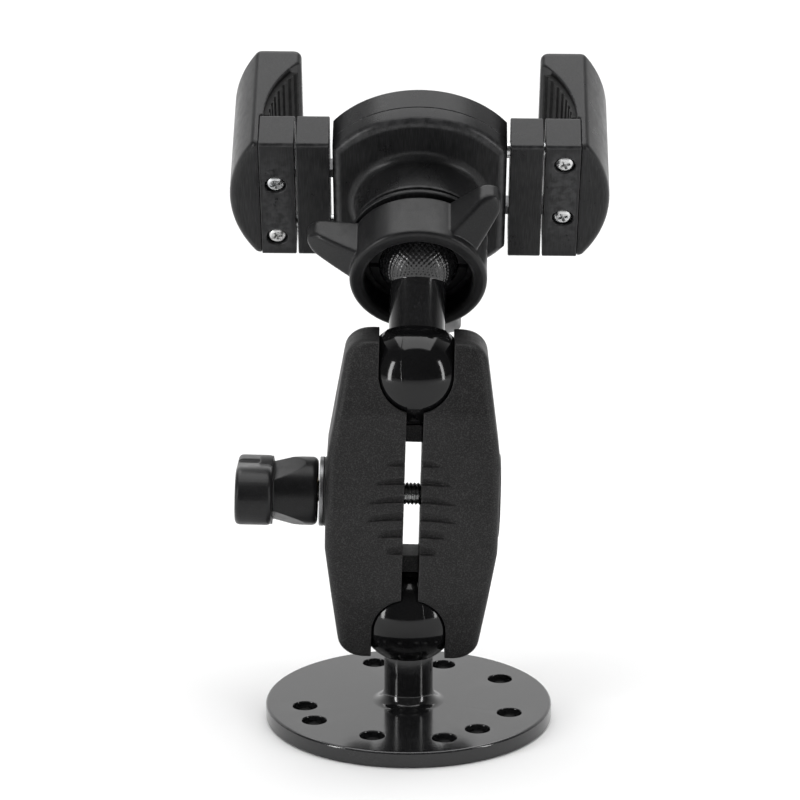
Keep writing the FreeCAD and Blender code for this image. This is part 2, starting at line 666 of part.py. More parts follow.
def works_hollow(part):
    """Space for the pinion, and for each side's rack, guide rod, spring and axle."""
    middle = "-works_deep"
    tools = [
        rod(f"pinion_room_{part}", "z", "pitch_radius + tooth_out + slide_gap", f"{middle} - pinion_thick / 2 - slide_gap",
            f"{middle} + pinion_thick / 2 + slide_gap"),
        rod(f"axle_hole_{part}", "z", "axle_radius", f"{middle} - axle_long / 2", f"{middle} + axle_long / 2")]
    for side, way in (("right", 1), ("left", -1)):
        rack_y = sorted([f"{-way} * (pitch_radius - tooth_out - slide_gap)",
                         f"{-way} * (rack_line + rack_half + slide_gap)"], key=number)
        rack_x = sorted([f"{-way} * channel_end", f"{way} * 2 * disc_half_wide"], key=number)
        tools.append(box(f"rack_room_{side}_{part}", rack_x, rack_y,
                         (f"{middle} - rack_thick / 2 - slide_gap", f"{middle} + rack_thick / 2 + slide_gap")))
        line = (f"{way} * rod_line", middle)
        tools.append(rod(f"spring_room_{side}_{part}", "x", "spring_channel", "-channel_end", "channel_end", line))
        ends = sorted(["0", f"{way} * 2 * disc_half_wide"], key=number)
        tools.append(rod(f"rod_hole_{side}_{part}", "x", "rod_radius + rod_gap", *ends, line))
    return tools


def case_screws(part, radius, head):
    """Four screw shapes from the front face of the disc."""
    face = "-disc_thick"
    shapes = []
    for index, (i, j) in enumerate(((1, 1), (-1, 1), (-1, -1), (1, -1)), 1):
        at = (f"{i} * case_screw_x", f"{j} * case_screw_y")
        shank = rod(f"case_shank_{index}_{part}", "z", radius, face, f"{face} + case_screw_long", at)
        top = rod(f"case_head_{index}_{part}", "z", head, face, f"{face} + case_head_high", at)
        shapes.append(fuse(f"case_screw_{index}_{part}", shank, top))
    return shapes


def housings():
    """Back shell with the boss, front shell, their screws and the rubber pad."""
    rear = disc_slab("rear_slab", "disc_radius", "disc_half_wide", "-seam", "0")
    rear = rounded("rear_rounded", rear, "disc_edge", lambda edge: abs(edge.BoundBox.ZMin) < 1e-4)
    boss = turned_body("boss", [
        ("0", "-disc_edge"),
        ("boss_radius + boss_cove", "-disc_edge"),
        ("boss_radius + boss_cove", "0", "boss_cove", -1),
        ("boss_radius", "boss_cove"),
        ("boss_radius", "boss_high"),
        ("ridge_radius", "boss_high"),
        ("ridge_radius", "boss_high + ridge_high"),
        ("sleeve_radius", "boss_high + ridge_high"),
        ("sleeve_radius", "sleeve_top"),
        ("collet_radius + collet_gap", "sleeve_top"),
        ("collet_radius + collet_gap", "collet_floor - collet_gap"),
        ("0", "collet_floor - collet_gap")])
    node(cut("rear_case", fuse("rear_solid", rear, boss), *works_hollow("rear"),
             *case_screws("rear", "case_screw_radius", "case_head_radius")), "back_housing", HOLDER)
    front = disc_slab("front_slab", "disc_radius", "disc_half_wide", "-disc_thick", "-seam")
    node(cut("front_case", front, *works_hollow("front"),
             *case_screws("front", "case_screw_radius", "case_head_radius")), "front_housing", HOLDER)
    for index, screw in enumerate(case_screws("own", "case_screw_radius", "case_head_radius"), 1):
        node(screw, f"housing_screw_{index}", HOLDER)
    node(disc_slab("pad_slab", "pad_radius", "pad_half_wide", "-disc_thick - pad_thick", "-disc_thick"),
         "front_pad", HOLDER)


def pinion():
    """Toothed wheel on a plain axle; a tooth points at each rack."""
    body = body_with("pinion_body")
    root = "(pitch_radius - tooth_in)"
    tip = "(pitch_radius + tooth_out)"
    pad(body, circles(body, "pinion_root", "XY_Plane", root, [("0", "0")]), "pinion_thick")
    tooth = pad(body, outline(body, "tooth_outline", "XY_Plane", [
        ("-tooth_root_half", f"{root} / 2"),
        ("tooth_root_half", f"{root} / 2"),
        ("tooth_root_half", root),
        ("tooth_tip_half", tip),
        ("-tooth_tip_half", tip),
        ("-tooth_root_half", root)]), "pinion_thick")
    pattern = body.newObject("PartDesign::PolarPattern", "pinion_teeth")
    pattern.Originals = [tooth]
    pattern.Axis = (tooth.Profile[0], ["N_Axis"])
    pattern.Angle = 360
    bind(pattern, "Occurrences", "teeth")
    body.Tip = pattern
    hole = body.newObject("PartDesign::Pocket", "pinion_bore")
    hole.Profile = circles(body, "pinion_bore_round", "XY_Plane", "axle_radius + axle_gap", [("0", "0")])
    hole.Type = 0
    bind(hole, "Length", "3 * pinion_thick")
    hole.SideType = "Symmetric"
    node(body, "pinion", HOLDER + "*" + move(z="-works_deep - pinion_thick / 2"))
    middle = "-works_deep"
    axle = rod("axle", "z", "axle_radius", f"{middle} - axle_long / 2", f"{middle} + axle_long / 2")
    axle = rounded("axle_rounded", axle, "axle_edge", lambda edge: is_round(edge))
    node(axle, "pinion_pin", HOLDER)


# ---------------------------------------------------------------- one side of the jaws, built on +X

BLOCK_START = "(mid_start + mid_wide + jaw_gap)"
BLOCK_END = "(mid_start + mid_wide + jaw_gap + jaw_wide)"
RACK_FRONT = "-(pitch_radius - tooth_out)"
RACK_ROOT = "-(pitch_radius + tooth_in)"
RACK_BACK = "-(rack_line + rack_half)"
SCREW_LINES = ("rod_line", "-rack_line")


def screw_shapes(name, head, floor, top):
    """Shank and head of the two screws of a jaw, as separate solids."""
    shapes = []
    for index, line in enumerate(SCREW_LINES, 1):
        at = ("screw_out", line)
        shank = rod(f"{name}_shank_{index}", "z", "screw_radius", "-screw_long", floor, at)
        cap = rod(f"{name}_head_{index}", "z", head, floor, top, at)
        shapes.append(fuse(f"{name}_{index}", shank, cap))
    return shapes


def jaw_rack(side, frame):
    """Bar with teeth towards the pinion, plain and wider where the jaw block holds it."""
    pitch = "(2 * pi * pitch_radius / teeth)"
    end = f"{BLOCK_END} - head_wall"
    body = body_with(f"rack_body_{side}")
    pad(body, outline(body, f"rack_bar_{side}", "XY_Plane", [
        ("-rack_tail", RACK_BACK),
        (end, RACK_BACK),
        (end, "-(rack_line - rack_half)"),
        (BLOCK_START, "-(rack_line - rack_half)"),
        (BLOCK_START, RACK_ROOT),
        ("-rack_tail", RACK_ROOT)]), "rack_thick")
    before = int(number("rack_tail - tooth_root_half") / number(pitch) - 0.5)
    first = f"{pitch} * {-before - 0.5}"
    tooth = pad(body, outline(body, f"rack_tooth_{side}", "XY_Plane", [
        (f"{first} - tooth_root_half", f"{RACK_ROOT} - tooth_in / 2"),
        (f"{first} + tooth_root_half", f"{RACK_ROOT} - tooth_in / 2"),
        (f"{first} + tooth_root_half", RACK_ROOT),
        (f"{first} + tooth_tip_half", RACK_FRONT),
        (f"{first} - tooth_tip_half", RACK_FRONT),
        (f"{first} - tooth_root_half", RACK_ROOT)]), "rack_thick")
    row = body.newObject("PartDesign::LinearPattern", f"rack_teeth_{side}")
    row.Originals = [tooth]
    row.Direction = (tooth.Profile[0], ["H_Axis"])
    row.Mode = "Spacing"
    bind(row, "Offset", pitch)
    row.Occurrences = before + 1 + int(number("pitch_radius") * 2 / number(pitch))
    body.Tip = row
    bind(body, "Placement.Base.z", "-works_deep - rack_thick / 2")
    hole = rod(f"rack_screw_hole_{side}", "z", "screw_radius", "-screw_long", "0", ("screw_out", "-rack_line"))
    node(cut(f"rack_{side}", body, hole), f"jaw_rack_{side}", frame)


def guide_rod(side, frame):
    """Rod from the jaw block into the disc, with a collar that the spring pushes on."""
    line = ("rod_line", "-works_deep")
    shaft = rod(f"rod_shaft_{side}", "x", "rod_radius", "-rod_tail", f"{BLOCK_END} - head_wall", line)
    collar = rod(f"rod_collar_{side}", "x", "collar_radius", "-rod_tail", "-rod_tail + collar_thick", line)
    hole = rod(f"rod_screw_hole_{side}", "z", "screw_radius", "-screw_long", "0", ("screw_out", "rod_line"))
    node(cut(f"rod_{side}", fuse(f"rod_solid_{side}", shaft, collar), hole), f"guide_rod_{side}", frame)


def return_spring(side, frame):
    """Envelope of the coil round the rod, from the rod's collar to the blind wall of the disc."""
    line = ("rod_line", "-works_deep")
    ends = ("-rod_tail + collar_thick", "channel_end")
    outside = rod(f"spring_outside_{side}", "x", "coil_radius + wire_radius", *ends, line)
    inside = rod(f"spring_inside_{side}", "x", "coil_radius - wire_radius", *ends, line)
    node(cut(f"spring_{side}", outside, inside), f"return_spring_{side}", frame)


def mid_block(side, frame):
    """Middle block that fills the gap between disc and jaw, sliding on the rack and the rod."""
    x = ("mid_start", "mid_start + mid_wide")
    block = box(f"mid_{side}", x, ("-jaw_half_long", "jaw_half_long"), ("-block_deep", "0"))
    block = rounded(f"mid_rounded_{side}", block, "block_edge", is_block_corner)
    slot = box(f"mid_slot_{side}", ("mid_start - 1", "mid_start + mid_wide + 1"),
               (f"{RACK_BACK} - slide_gap", f"{RACK_FRONT} + slide_gap"),
               ("-works_deep - rack_thick / 2 - slide_gap", "-works_deep + rack_thick / 2 + slide_gap"))
    hole = rod(f"mid_hole_{side}", "x", "rod_radius + rod_gap", "0", "2 * mid_start", ("rod_line", "-works_deep"))
    node(cut(f"mid_cut_{side}", block, slot, hole), f"mid_block_{side}", frame)


def is_block_corner(edge):
    """Whether an edge runs along X, at a long corner of a block."""
    return abs(edge.tangentAt(edge.FirstParameter).x) > 0.99


def jaw_block(side, frame):
    """Inner block of a jaw, which holds the rack, the rod and two screws."""
    block = box(f"block_{side}", (BLOCK_START, BLOCK_END), ("-jaw_half_long", "jaw_half_long"), ("-block_deep", "0"))
    block = rounded(f"block_rounded_{side}", block, "block_edge", is_block_corner)
    rack_end = box(f"block_rack_{side}", (f"{BLOCK_START} - 1", f"{BLOCK_END} - head_wall"),
                   (RACK_BACK, "-(rack_line - rack_half)"),
                   ("-works_deep - rack_thick / 2", "-works_deep + rack_thick / 2"))
    rod_end = rod(f"block_rod_{side}", "x", "rod_radius", "mid_start", f"{BLOCK_END} - head_wall",
                  ("rod_line", "-works_deep"))
    screws = screw_shapes(f"block_screw_{side}", "screw_recess", "-recess_floor", "1")
    node(cut(f"block_cut_{side}", block, rack_end, rod_end, *screws), f"jaw_block_{side}", frame)


def jaw_shell(side, frame):
    """D-shaped outer shell with the hook that reaches round the phone's edge."""
    corner = f"{BLOCK_END} + shell_wide - shell_round + sqrt(shell_round^2 - jaw_half_long^2)"
    body = body_with(f"shell_body_{side}")
    pad(body, outline(body, f"shell_outline_{side}", "XY_Plane", [
        ("hook_tip", "-jaw_half_long"),
        (corner, "-jaw_half_long", "shell_round", 1),
        (corner, "jaw_half_long"),
        ("hook_tip", "jaw_half_long")]), "shell_deep")
    arc, tip = number("shell_round"), number("hook_tip")

    def is_rim(edge):
        """Whether an edge is on the curved outline or at the hook's front corner."""
        spot = edge.CenterOfMass
        return is_circle(edge, arc) or (abs(spot.x - tip) < 1e-4 and abs(spot.z) < 1e-4)

    dress(body, "PartDesign::Fillet", f"shell_rim_{side}", "Radius", "shell_edge", is_rim)
    bind(body, "Placement.Base.z", "-shell_deep")
    wide = ("-2 * jaw_half_long", "2 * jaw_half_long")
    inside = rod(f"shell_inside_{side}", "y", "hook_round", *wide, ("hook_inside - hook_round", "-block_deep"))
    room = box(f"shell_room_{side}", ("hook_tip - 1", BLOCK_END), wide, ("-block_deep", "1"))
    node(cut(f"shell_cut_{side}", body, inside, room), f"jaw_shell_{side}", frame)


def jaw_grip(side, frame):
    """Rubber lining of the hook."""
    across = ("-grip_half_long", "grip_half_long")
    at = ("hook_inside - hook_round", "-block_deep")
    outer = rod(f"grip_outer_{side}", "y", "hook_round", *across, at)
    inner = rod(f"grip_inner_{side}", "y", "hook_round - grip_thick", *across, at)
    part = box(f"grip_part_{side}", ("hook_inside - hook_round", "hook_inside"), across,
               ("-block_deep - grip_end", "-block_deep - grip_start"))
    node(common(f"grip_{side}", cut(f"grip_ring_{side}", outer, inner), part), f"jaw_pad_{side}", frame)


def jaw(side):
    """Everything that slides out on one side."""
    frame = SIDE_FRAMES[side]
    mid_block(side, frame)
    jaw_block(side, frame)
    jaw_shell(side, frame)
    jaw_grip(side, frame)
    jaw_rack(side, frame)
    guide_rod(side, frame)
    return_spring(side, frame)
    screws = screw_shapes(f"screw_{side}", "screw_head", "-recess_floor", "-head_proud")
    for index, screw in enumerate(screws, 1):
        node(screw, f"jaw_screw_{index}_{side}", frame)


# ---------------------------------------------------------------- build, check and write

base_plate()
ball_cover("lower_ball_cover", "post_radius", ARM.split("*")[0])
arm_halves()
clamp()
knob()
ball_cover("upper_ball_cover", "stem_radius", STEM + "*" + turn("x", "180"))
stem()
collet()
ring_nut()
housings()
pinion()
for side in SIDE_FRAMES:
    jaw(side)
doc.recompute()

faults = [thing.Name for thing in doc.Objects if "Invalid" in thing.State or "Error" in thing.State]
for thing in NODES:
    if thing.Shape.isNull() or not thing.Shape.isValid() or len(thing.Shape.Solids) != 1:
        faults.append(f"{thing.Label}: {len(thing.Shape.Solids)} solids")
if faults:
    raise RuntimeError("not built: " + ", ".join(faults))
os.makedirs("parts", exist_ok=True)
for thing in NODES:
    thing.Shape.exportStep(os.path.join("parts", thing.Label + ".step"))
print(f"{len(NODES)} sub-parts written")
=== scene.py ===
"""Phone holder on a round drill-down base: the finished pieces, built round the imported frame.

Shapes are made in millimetres in the frame of their own sub-assembly and set into the row frame in metres.
"""

import json
import logging
import math
from collections.abc import Sequence
from dataclasses import dataclass, field
from enum import Enum

import bmesh
import bpy
from mathutils import Matrix, Vector

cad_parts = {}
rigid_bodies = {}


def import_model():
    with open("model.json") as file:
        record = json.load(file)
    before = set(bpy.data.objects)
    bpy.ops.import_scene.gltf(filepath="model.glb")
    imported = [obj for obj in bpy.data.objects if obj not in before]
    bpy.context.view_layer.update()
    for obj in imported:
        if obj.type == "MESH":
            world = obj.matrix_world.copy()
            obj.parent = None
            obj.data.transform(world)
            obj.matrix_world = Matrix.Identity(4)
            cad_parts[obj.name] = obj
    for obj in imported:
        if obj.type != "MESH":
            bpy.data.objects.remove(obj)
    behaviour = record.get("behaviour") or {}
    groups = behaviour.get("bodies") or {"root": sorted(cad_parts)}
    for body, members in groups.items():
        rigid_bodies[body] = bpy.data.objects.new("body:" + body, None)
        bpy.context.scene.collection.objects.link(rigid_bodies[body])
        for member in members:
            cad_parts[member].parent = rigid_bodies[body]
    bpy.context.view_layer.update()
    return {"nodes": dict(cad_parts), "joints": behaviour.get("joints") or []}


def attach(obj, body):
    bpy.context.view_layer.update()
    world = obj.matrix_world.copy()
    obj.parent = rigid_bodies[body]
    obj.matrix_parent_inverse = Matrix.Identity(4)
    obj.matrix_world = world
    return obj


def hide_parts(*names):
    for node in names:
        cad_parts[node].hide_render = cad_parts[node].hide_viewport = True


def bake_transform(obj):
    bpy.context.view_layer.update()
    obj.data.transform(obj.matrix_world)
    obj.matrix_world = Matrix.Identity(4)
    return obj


for left_over in list(bpy.data.objects):
    bpy.data.objects.remove(left_over)
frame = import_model()

MM = 0.001
QUARTER = math.pi / 2
TINY = 1e-6
# How far a cutter that passes right through stands out.
REACH = 30.0
# Name of the wear mark on a face's corners, the bend in degrees where wear starts,
# and the further bend that gives full wear.
WORN = "worn"
WEAR_FROM = 13.0
WEAR_RANGE = 12.0
log = logging.getLogger("phone_holder")

Flat = tuple[float, float]
Colour = tuple[float, float, float]
Shape = bpy.types.Object

# ALONG_X stands an outline of (y, z) up along X, and ALONG_Y one of (x, z) along -Y.
ALONG_X = Matrix(((0, 0, 1, 0), (1, 0, 0, 0), (0, 1, 0, 0), (0, 0, 0, 1)))
ALONG_Y = Matrix(((1, 0, 0, 0), (0, 0, -1, 0), (0, 1, 0, 0), (0, 0, 0, 1)))
HALF_TURN_Z = Matrix.Rotation(math.pi, 4, "Z")
HALF_TURN_X = Matrix.Rotation(math.pi, 4, "X")


class Join(Enum):
    """How two closed shapes are put together."""

    ADD = "UNION"
    CUT = "DIFFERENCE"
    KEEP = "INTERSECT"


class Grain(Enum):
    """The kind of fine relief a finish has."""

    PEEL = "the soft orange peel of powder coat"
    MOULDED = "the fine speckle of a moulded skin"
    GRAINED = "the coarse grain of filled composite"
    BRUSHED = "fine parallel lines"


# ---------------------------------------------------------------- mesh kit

def linked(bm: bmesh.types.BMesh, name: str = "shape") -> Shape:
    """Turn a bmesh into a linked object with its faces pointing outwards.

    Args:
        bm: The mesh under construction, which is freed.
        name: Name of the new object.

    Returns:
        The new object.
    """
    bmesh.ops.recalc_face_normals(bm, faces=bm.faces)
    mesh = bpy.data.meshes.new(name)
    bm.to_mesh(mesh)
    bm.free()
    made = bpy.data.objects.new(name, mesh)
    bpy.context.scene.collection.objects.link(made)
    return made


def skin(bm: bmesh.types.BMesh, first: list, second: list) -> None:
    """Join two rings of vertices with faces; a ring of one vertex is a pole.

    Args:
        bm: The mesh under construction.
        first: One ring.
        second: The next ring.
    """
    count = max(len(first), len(second))
    for here in range(count):
        there = (here + 1) % count
        corners = [first[here % len(first)], first[there % len(first)],
                   second[there % len(second)], second[here % len(second)]]
        bm.faces.new(list(dict.fromkeys(corners)))


def loft(rings: Sequence[Sequence[Sequence[float]]], looped: bool = False) -> Shape:
    """Skin a row of rings of points.

    Args:
        rings: Rings with the same number of points, or a single point for a pole.
        looped: Whether the last ring joins the first one; otherwise the ends are closed with caps.

    Returns:
        A closed shape.
    """
    bm = bmesh.new()
    rows = [[bm.verts.new(point) for point in ring] for ring in rings]
    for first, second in zip(rows, rows[1:]):
        skin(bm, first, second)
    if looped:
        skin(bm, rows[-1], rows[0])
    else:
        for end in (rows[0], rows[-1]):
            if len(end) > 2:
                bm.faces.new(end)
    return linked(bm)


def lathe(profile: Sequence[Flat], steps: int = 128, looped: bool = False) -> Shape:
    """Turn a profile about Z.

    Args:
        profile: Points (radius, height), from axis to axis, or all round a ring's section.
        steps: Faces round the axis.
        looped: Whether the profile is the closed section of a ring.

    Returns:
        A closed shape.
    """
    turns = [2 * math.pi * k / steps for k in range(steps)]
    rings = []
    for radius, height in profile:
        if radius < TINY:
            rings.append([(0, 0, height)])
        else:
            rings.append([(radius * math.cos(a), radius * math.sin(a), height) for a in turns])
    return loft(rings, looped)


def arc(centre: Flat, radius: float, start: float, end: float, steps: int) -> list[Flat]:
    """Points along an arc.

    Args:
        centre: Centre of the arc.
        radius: Radius of the arc.
        start: First angle in degrees.
        end: Last angle in degrees.
        steps: Number of chords.

    Returns:
        The points, both ends included.
    """
    angles = [math.radians(start + (end - start) * k / steps) for k in range(steps + 1)]
    return [(centre[0] + radius * math.cos(a), centre[1] + radius * math.sin(a)) for a in angles]


def soft(corners: Sequence[tuple[float, float, float]], looped: bool = True, steps: int = 4) -> list[Flat]:
    """Round the corners of an outline.

    Args:
        corners: Points (x, y, radius); radius 0 leaves a corner sharp.
        looped: Whether the outline is closed.
        steps: Chords in each rounded corner.

    Returns:
        Points of the rounded outline.
    """
    points = []
    for index, (x, y, radius) in enumerate(corners):
        here = Vector((x, y))
        if radius == 0 or not looped and index in (0, len(corners) - 1):
            points.append((x, y))
            continue
        before = (Vector(corners[index - 1][:2]) - here).normalized()
        after = (Vector(corners[(index + 1) % len(corners)][:2]) - here).normalized()
        half = before.angle(after) / 2
        middle = here + (before + after).normalized() * radius / math.sin(half)
        first, last = (here + way * radius / math.tan(half) - middle for way in (before, after))
        start = math.atan2(first.y, first.x)
        sweep = (math.atan2(last.y, last.x) - start + math.pi) % (2 * math.pi) - math.pi
        for k in range(steps + 1):
            angle = start + sweep * k / steps
            points.append((middle.x + radius * math.cos(angle), middle.y + radius * math.sin(angle)))
    return points


def ring_of(radius: float, steps: int = 64, centre: Flat = (0, 0)) -> list[Flat]:
    """Points round a circle."""
    return arc(centre, radius, 0, 360 * (steps - 1) / steps, steps - 1)


def inset(outline: Sequence[Flat], amount: float) -> list[Flat]:
    """Move a convex counter-clockwise outline inwards.

    Args:
        outline: The outline.
        amount: How far each side moves.

    Returns:
        The smaller outline, with as many points.
    """
    sharpest = 0.3
    spots = [Vector(point) for point in outline]
    moved = []
    for index, here in enumerate(spots):
        before = (here - spots[index - 1]).normalized()
        after = (spots[(index + 1) % len(spots)] - here).normalized()
        across = Vector((-before.y - after.y, before.x + after.x)).normalized()
        lean = max(sharpest, across.dot(Vector((-after.y, after.x))))
        moved.append(tuple(here + across * amount / lean))
    return moved


def slab(outline: Sequence[Flat], low: float, high: float, low_round: float = 0,
         high_round: float = 0) -> Shape:
    """Extrude an outline along Z, with rounded rims.

    Args:
        outline: Counter-clockwise outline.
        low: Height of the lower face.
        high: Height of the upper face.
        low_round: Radius of the lower rim.
        high_round: Radius of the upper rim.

    Returns:
        A closed shape.
    """
    steps = 4
    levels = []
    for base, radius, way in ((low, low_round, 1), (high, high_round, -1)):
        turns = [QUARTER * k / steps for k in range(steps + 1)] if radius else [QUARTER]
        rim = [(base + way * radius * (1 - math.cos(a)), radius * (1 - math.sin(a))) for a in turns]
        levels += rim if way > 0 else rim[::-1]
    return loft([[(x, y, height) for x, y in inset(outline, amount)] for height, amount in levels])


def block(x: Flat, y: Flat, z: Flat) -> Shape:
    """Box between pairs of coordinates, used to cut other shapes."""
    return slab([(x[0], y[0]), (x[1], y[0]), (x[1], y[1]), (x[0], y[1])], *z)


def drill(radius: float, low: float, high: float, flare: float = 0) -> Shape:
    """Cutter for a round hole whose two rims come out rounded.

    Args:
        radius: Radius of the hole.
        low: Height of the lower face it breaks through.
        high: Height of the upper face it breaks through.
        flare: Radius of the rounded rims.

    Returns:
        The cutter, which stands past both faces.
    """
    # The rounded rims start just outside the faces, so no ring of the cutter lies in a face that it cuts.
    over, lap, rim_steps, around = 2.0, 0.03, 4, 64
    wide = radius + flare
    if not flare:
        return slab(ring_of(radius), low - over, high + over)
    lower = arc((wide, low + flare - lap), flare, 270, 180, rim_steps)
    upper = arc((wide, high - flare + lap), flare, 180, 90, rim_steps)
    profile = [(0, low - over), (wide, low - over), *lower, *upper, (wide, high + over), (0, high + over)]
    return lathe(profile, around)


def globe(radius: float, height: float = 0) -> Shape:
    """Ball on the Z axis, used to cut other shapes."""
    near_pole, rows, around = 84, 28, 96
    side = arc((0, height), radius, -near_pole, near_pole, rows)
    return lathe([(0, height - radius), *side, (0, height + radius)], around)


def tube(path: Sequence[Vector], radius: float, sides: int = 12) -> Shape:
    """Round wire along a path.

    Args:
        path: Points on the centre line.
        radius: Radius of the wire.
        sides: Faces round the wire.

    Returns:
        A closed shape.
    """
    rings = []
    across = Vector((0, 1, 0))
    for index, here in enumerate(path):
        way = (path[min(index + 1, len(path) - 1)] - path[max(index - 1, 0)]).normalized()
        across = (across - way * across.dot(way)).normalized()
        up = way.cross(across)
        turns = [2 * math.pi * k / sides for k in range(sides)]
        rings.append([here + (across * math.cos(a) + up * math.sin(a)) * radius for a in turns])
    return loft(rings)


def thread(radius: float, depth: float, pitch: float, low: float, high: float, plain: float = 0) -> Shape:
    """Screw thread along Z.

    Args:
        radius: Outer radius.
        depth: Depth of the thread.
        pitch: Rise in one turn.
        low: Height of the lower end.
        high: Height of the upper end.
        plain: Length without thread at the upper end.

    Returns:
        A closed shape.
    """
    around, per_turn = 40, 8
    rows = round((high - low) / pitch * per_turn)
    rings: list[list[tuple[float, float, float]]] = [[(0, 0, low)]]
    for row in range(rows + 1):
        height = low + (high - low) * row / rows
        fade = min(1.0, (height - low) / pitch, max(0.0, (high - plain - height) / pitch))
        ring = []
        for k in range(around):
            phase = (height / pitch - k / around) % 1
            groove = depth * fade * (1 - abs(2 * phase - 1)) if height > low else depth
            angle = 2 * math.pi * k / around
            ring.append(((radius - groove) * math.cos(angle), (radius - groove) * math.sin(angle), height))
        rings.append(ring)
    rings.append([(0, 0, high)])
    return loft(rings)


def set_mesh(shape: Shape) -> Shape:
    """Apply a shape's modifiers to its mesh."""
    graph = bpy.context.evaluated_depsgraph_get()
    fresh = bpy.data.meshes.new_from_object(shape.evaluated_get(graph))
    shape.modifiers.clear()
    shape.data = fresh
    return shape


def placed(shape: Shape, matrix: Matrix) -> Shape:
    """Move a shape's mesh by a matrix."""
    shape.data.transform(matrix)
    return shape


def joined(how: Join, shape: Shape, *tools: Shape) -> Shape:
    """Add, cut or intersect closed shapes.

    Args:
        how: What is done with each tool.
        shape: The shape that is kept.
        *tools: The other shapes, which are removed.

    Returns:
        The first shape, changed.
    """
    for tool in tools:
        step = shape.modifiers.new(tool.name, "BOOLEAN")
        step.operation = how.value
        step.solver = "EXACT"
        step.object = tool
    set_mesh(shape)
    for tool in tools:
        bpy.data.objects.remove(tool)
    return shape


def moulded(shape: Shape, grid: float, passes: int = 2, keep: float = 0.5) -> Shape:
    """Give a joined shape one skin whose edges are softly rounded, as a mould gives it.

    Args:
        shape: The joined shape.
        grid: Size of the skin's faces.
        passes: Smoothing passes, which round the edges.
        keep: Share of the faces that is kept.

    Returns:
        The same object with its new mesh.
    """
    skinned = shape.modifiers.new("skin", "REMESH")
    skinned.mode = "VOXEL"
    skinned.voxel_size = grid
    eased = shape.modifiers.new("ease", "SMOOTH")
    eased.factor = 0.5
    eased.iterations = passes
    if keep < 1:
        lighter = shape.modifiers.new("lighter", "DECIMATE")
        lighter.ratio = keep
    return set_mesh(shape)


def mark_wear(shape: Shape, sharp: float = 40) -> None:
    """Shade a mesh smoothly but for its sharp edges, and write how much each corner of a face would wear.

    Args:
        shape: The finished shape.
        sharp: Edges beyond this angle, in degrees, stay sharp.
    """
    bm = bmesh.new()
    bm.from_mesh(shape.data)
    layer = bm.loops.layers.float.new(WORN)
    for edge in bm.edges:
        edge.smooth = edge.is_manifold and edge.calc_face_angle() < math.radians(sharp)
    for face in bm.faces:
        face.smooth = True
        for loop in face.loops:
            bends = [side.calc_face_angle_signed(0) for side in (loop.edge, loop.link_loop_prev.edge)]
            loop[layer] = min(1.0, max(0.0, (math.degrees(max(bends)) - WEAR_FROM) / WEAR_RANGE))
    bm.to_mesh(shape.data)
    bm.free()


# ---------------------------------------------------------------- finishes

class Nodes:
    """Short ways to add and join the nodes of one material."""

    def __init__(self, name: str) -> None:
        """Start a material with a shader and an output."""
        self.material = bpy.data.materials.new(name)
        self.material.use_nodes = True
        self.tree = self.material.node_tree
        self.shader = self.tree.nodes["Principled BSDF"]

    def add(self, kind: str, inputs: dict, **settings: object) -> bpy.types.Node:
        """Add a node.

        Args:
            kind: Type of the node.
            inputs: Values or output sockets by input name or number.
            **settings: Properties of the node.

        Returns:
            The new node.
        """
        made = self.tree.nodes.new(kind)
        for name, value in settings.items():
            setattr(made, name, value)
        for name, value in inputs.items():
            if isinstance(value, bpy.types.NodeSocket):
                self.tree.links.new(value, made.inputs[name])
            else:
                made.inputs[name].default_value = value
        return made

    def noise(self, where: bpy.types.NodeSocket, size: float, detail: float = 3) -> bpy.types.NodeSocket:
        """Noise whose spots are about this many millimetres wide."""
        inputs = {"Vector": where, "Scale": 1 / (size * MM), "Detail": detail}
        return self.add("ShaderNodeTexNoise", inputs).outputs[0]

    def spread(self, value: bpy.types.NodeSocket, start: Flat, end: Flat) -> bpy.types.NodeSocket:
        """Map one range of numbers to another, held at its ends."""
        return self.add("ShaderNodeMapRange", {
            "Value": value, "From Min": start[0], "From Max": start[1],
            "To Min": end[0], "To Max": end[1]}).outputs[0]

    def mix(self, share: bpy.types.NodeSocket, first: object, second: object) -> bpy.types.NodeSocket:
        """Mix two colours by a share."""
        made = self.add("ShaderNodeMix", {0: share, 6: first, 7: second}, data_type="RGBA")
        return made.outputs[2]

    def times(self, first: object, second: object) -> bpy.types.NodeSocket:
        """Multiply two values."""
        return self.add("ShaderNodeMath", {0: first, 1: second}, operation="MULTIPLY").outputs[0]


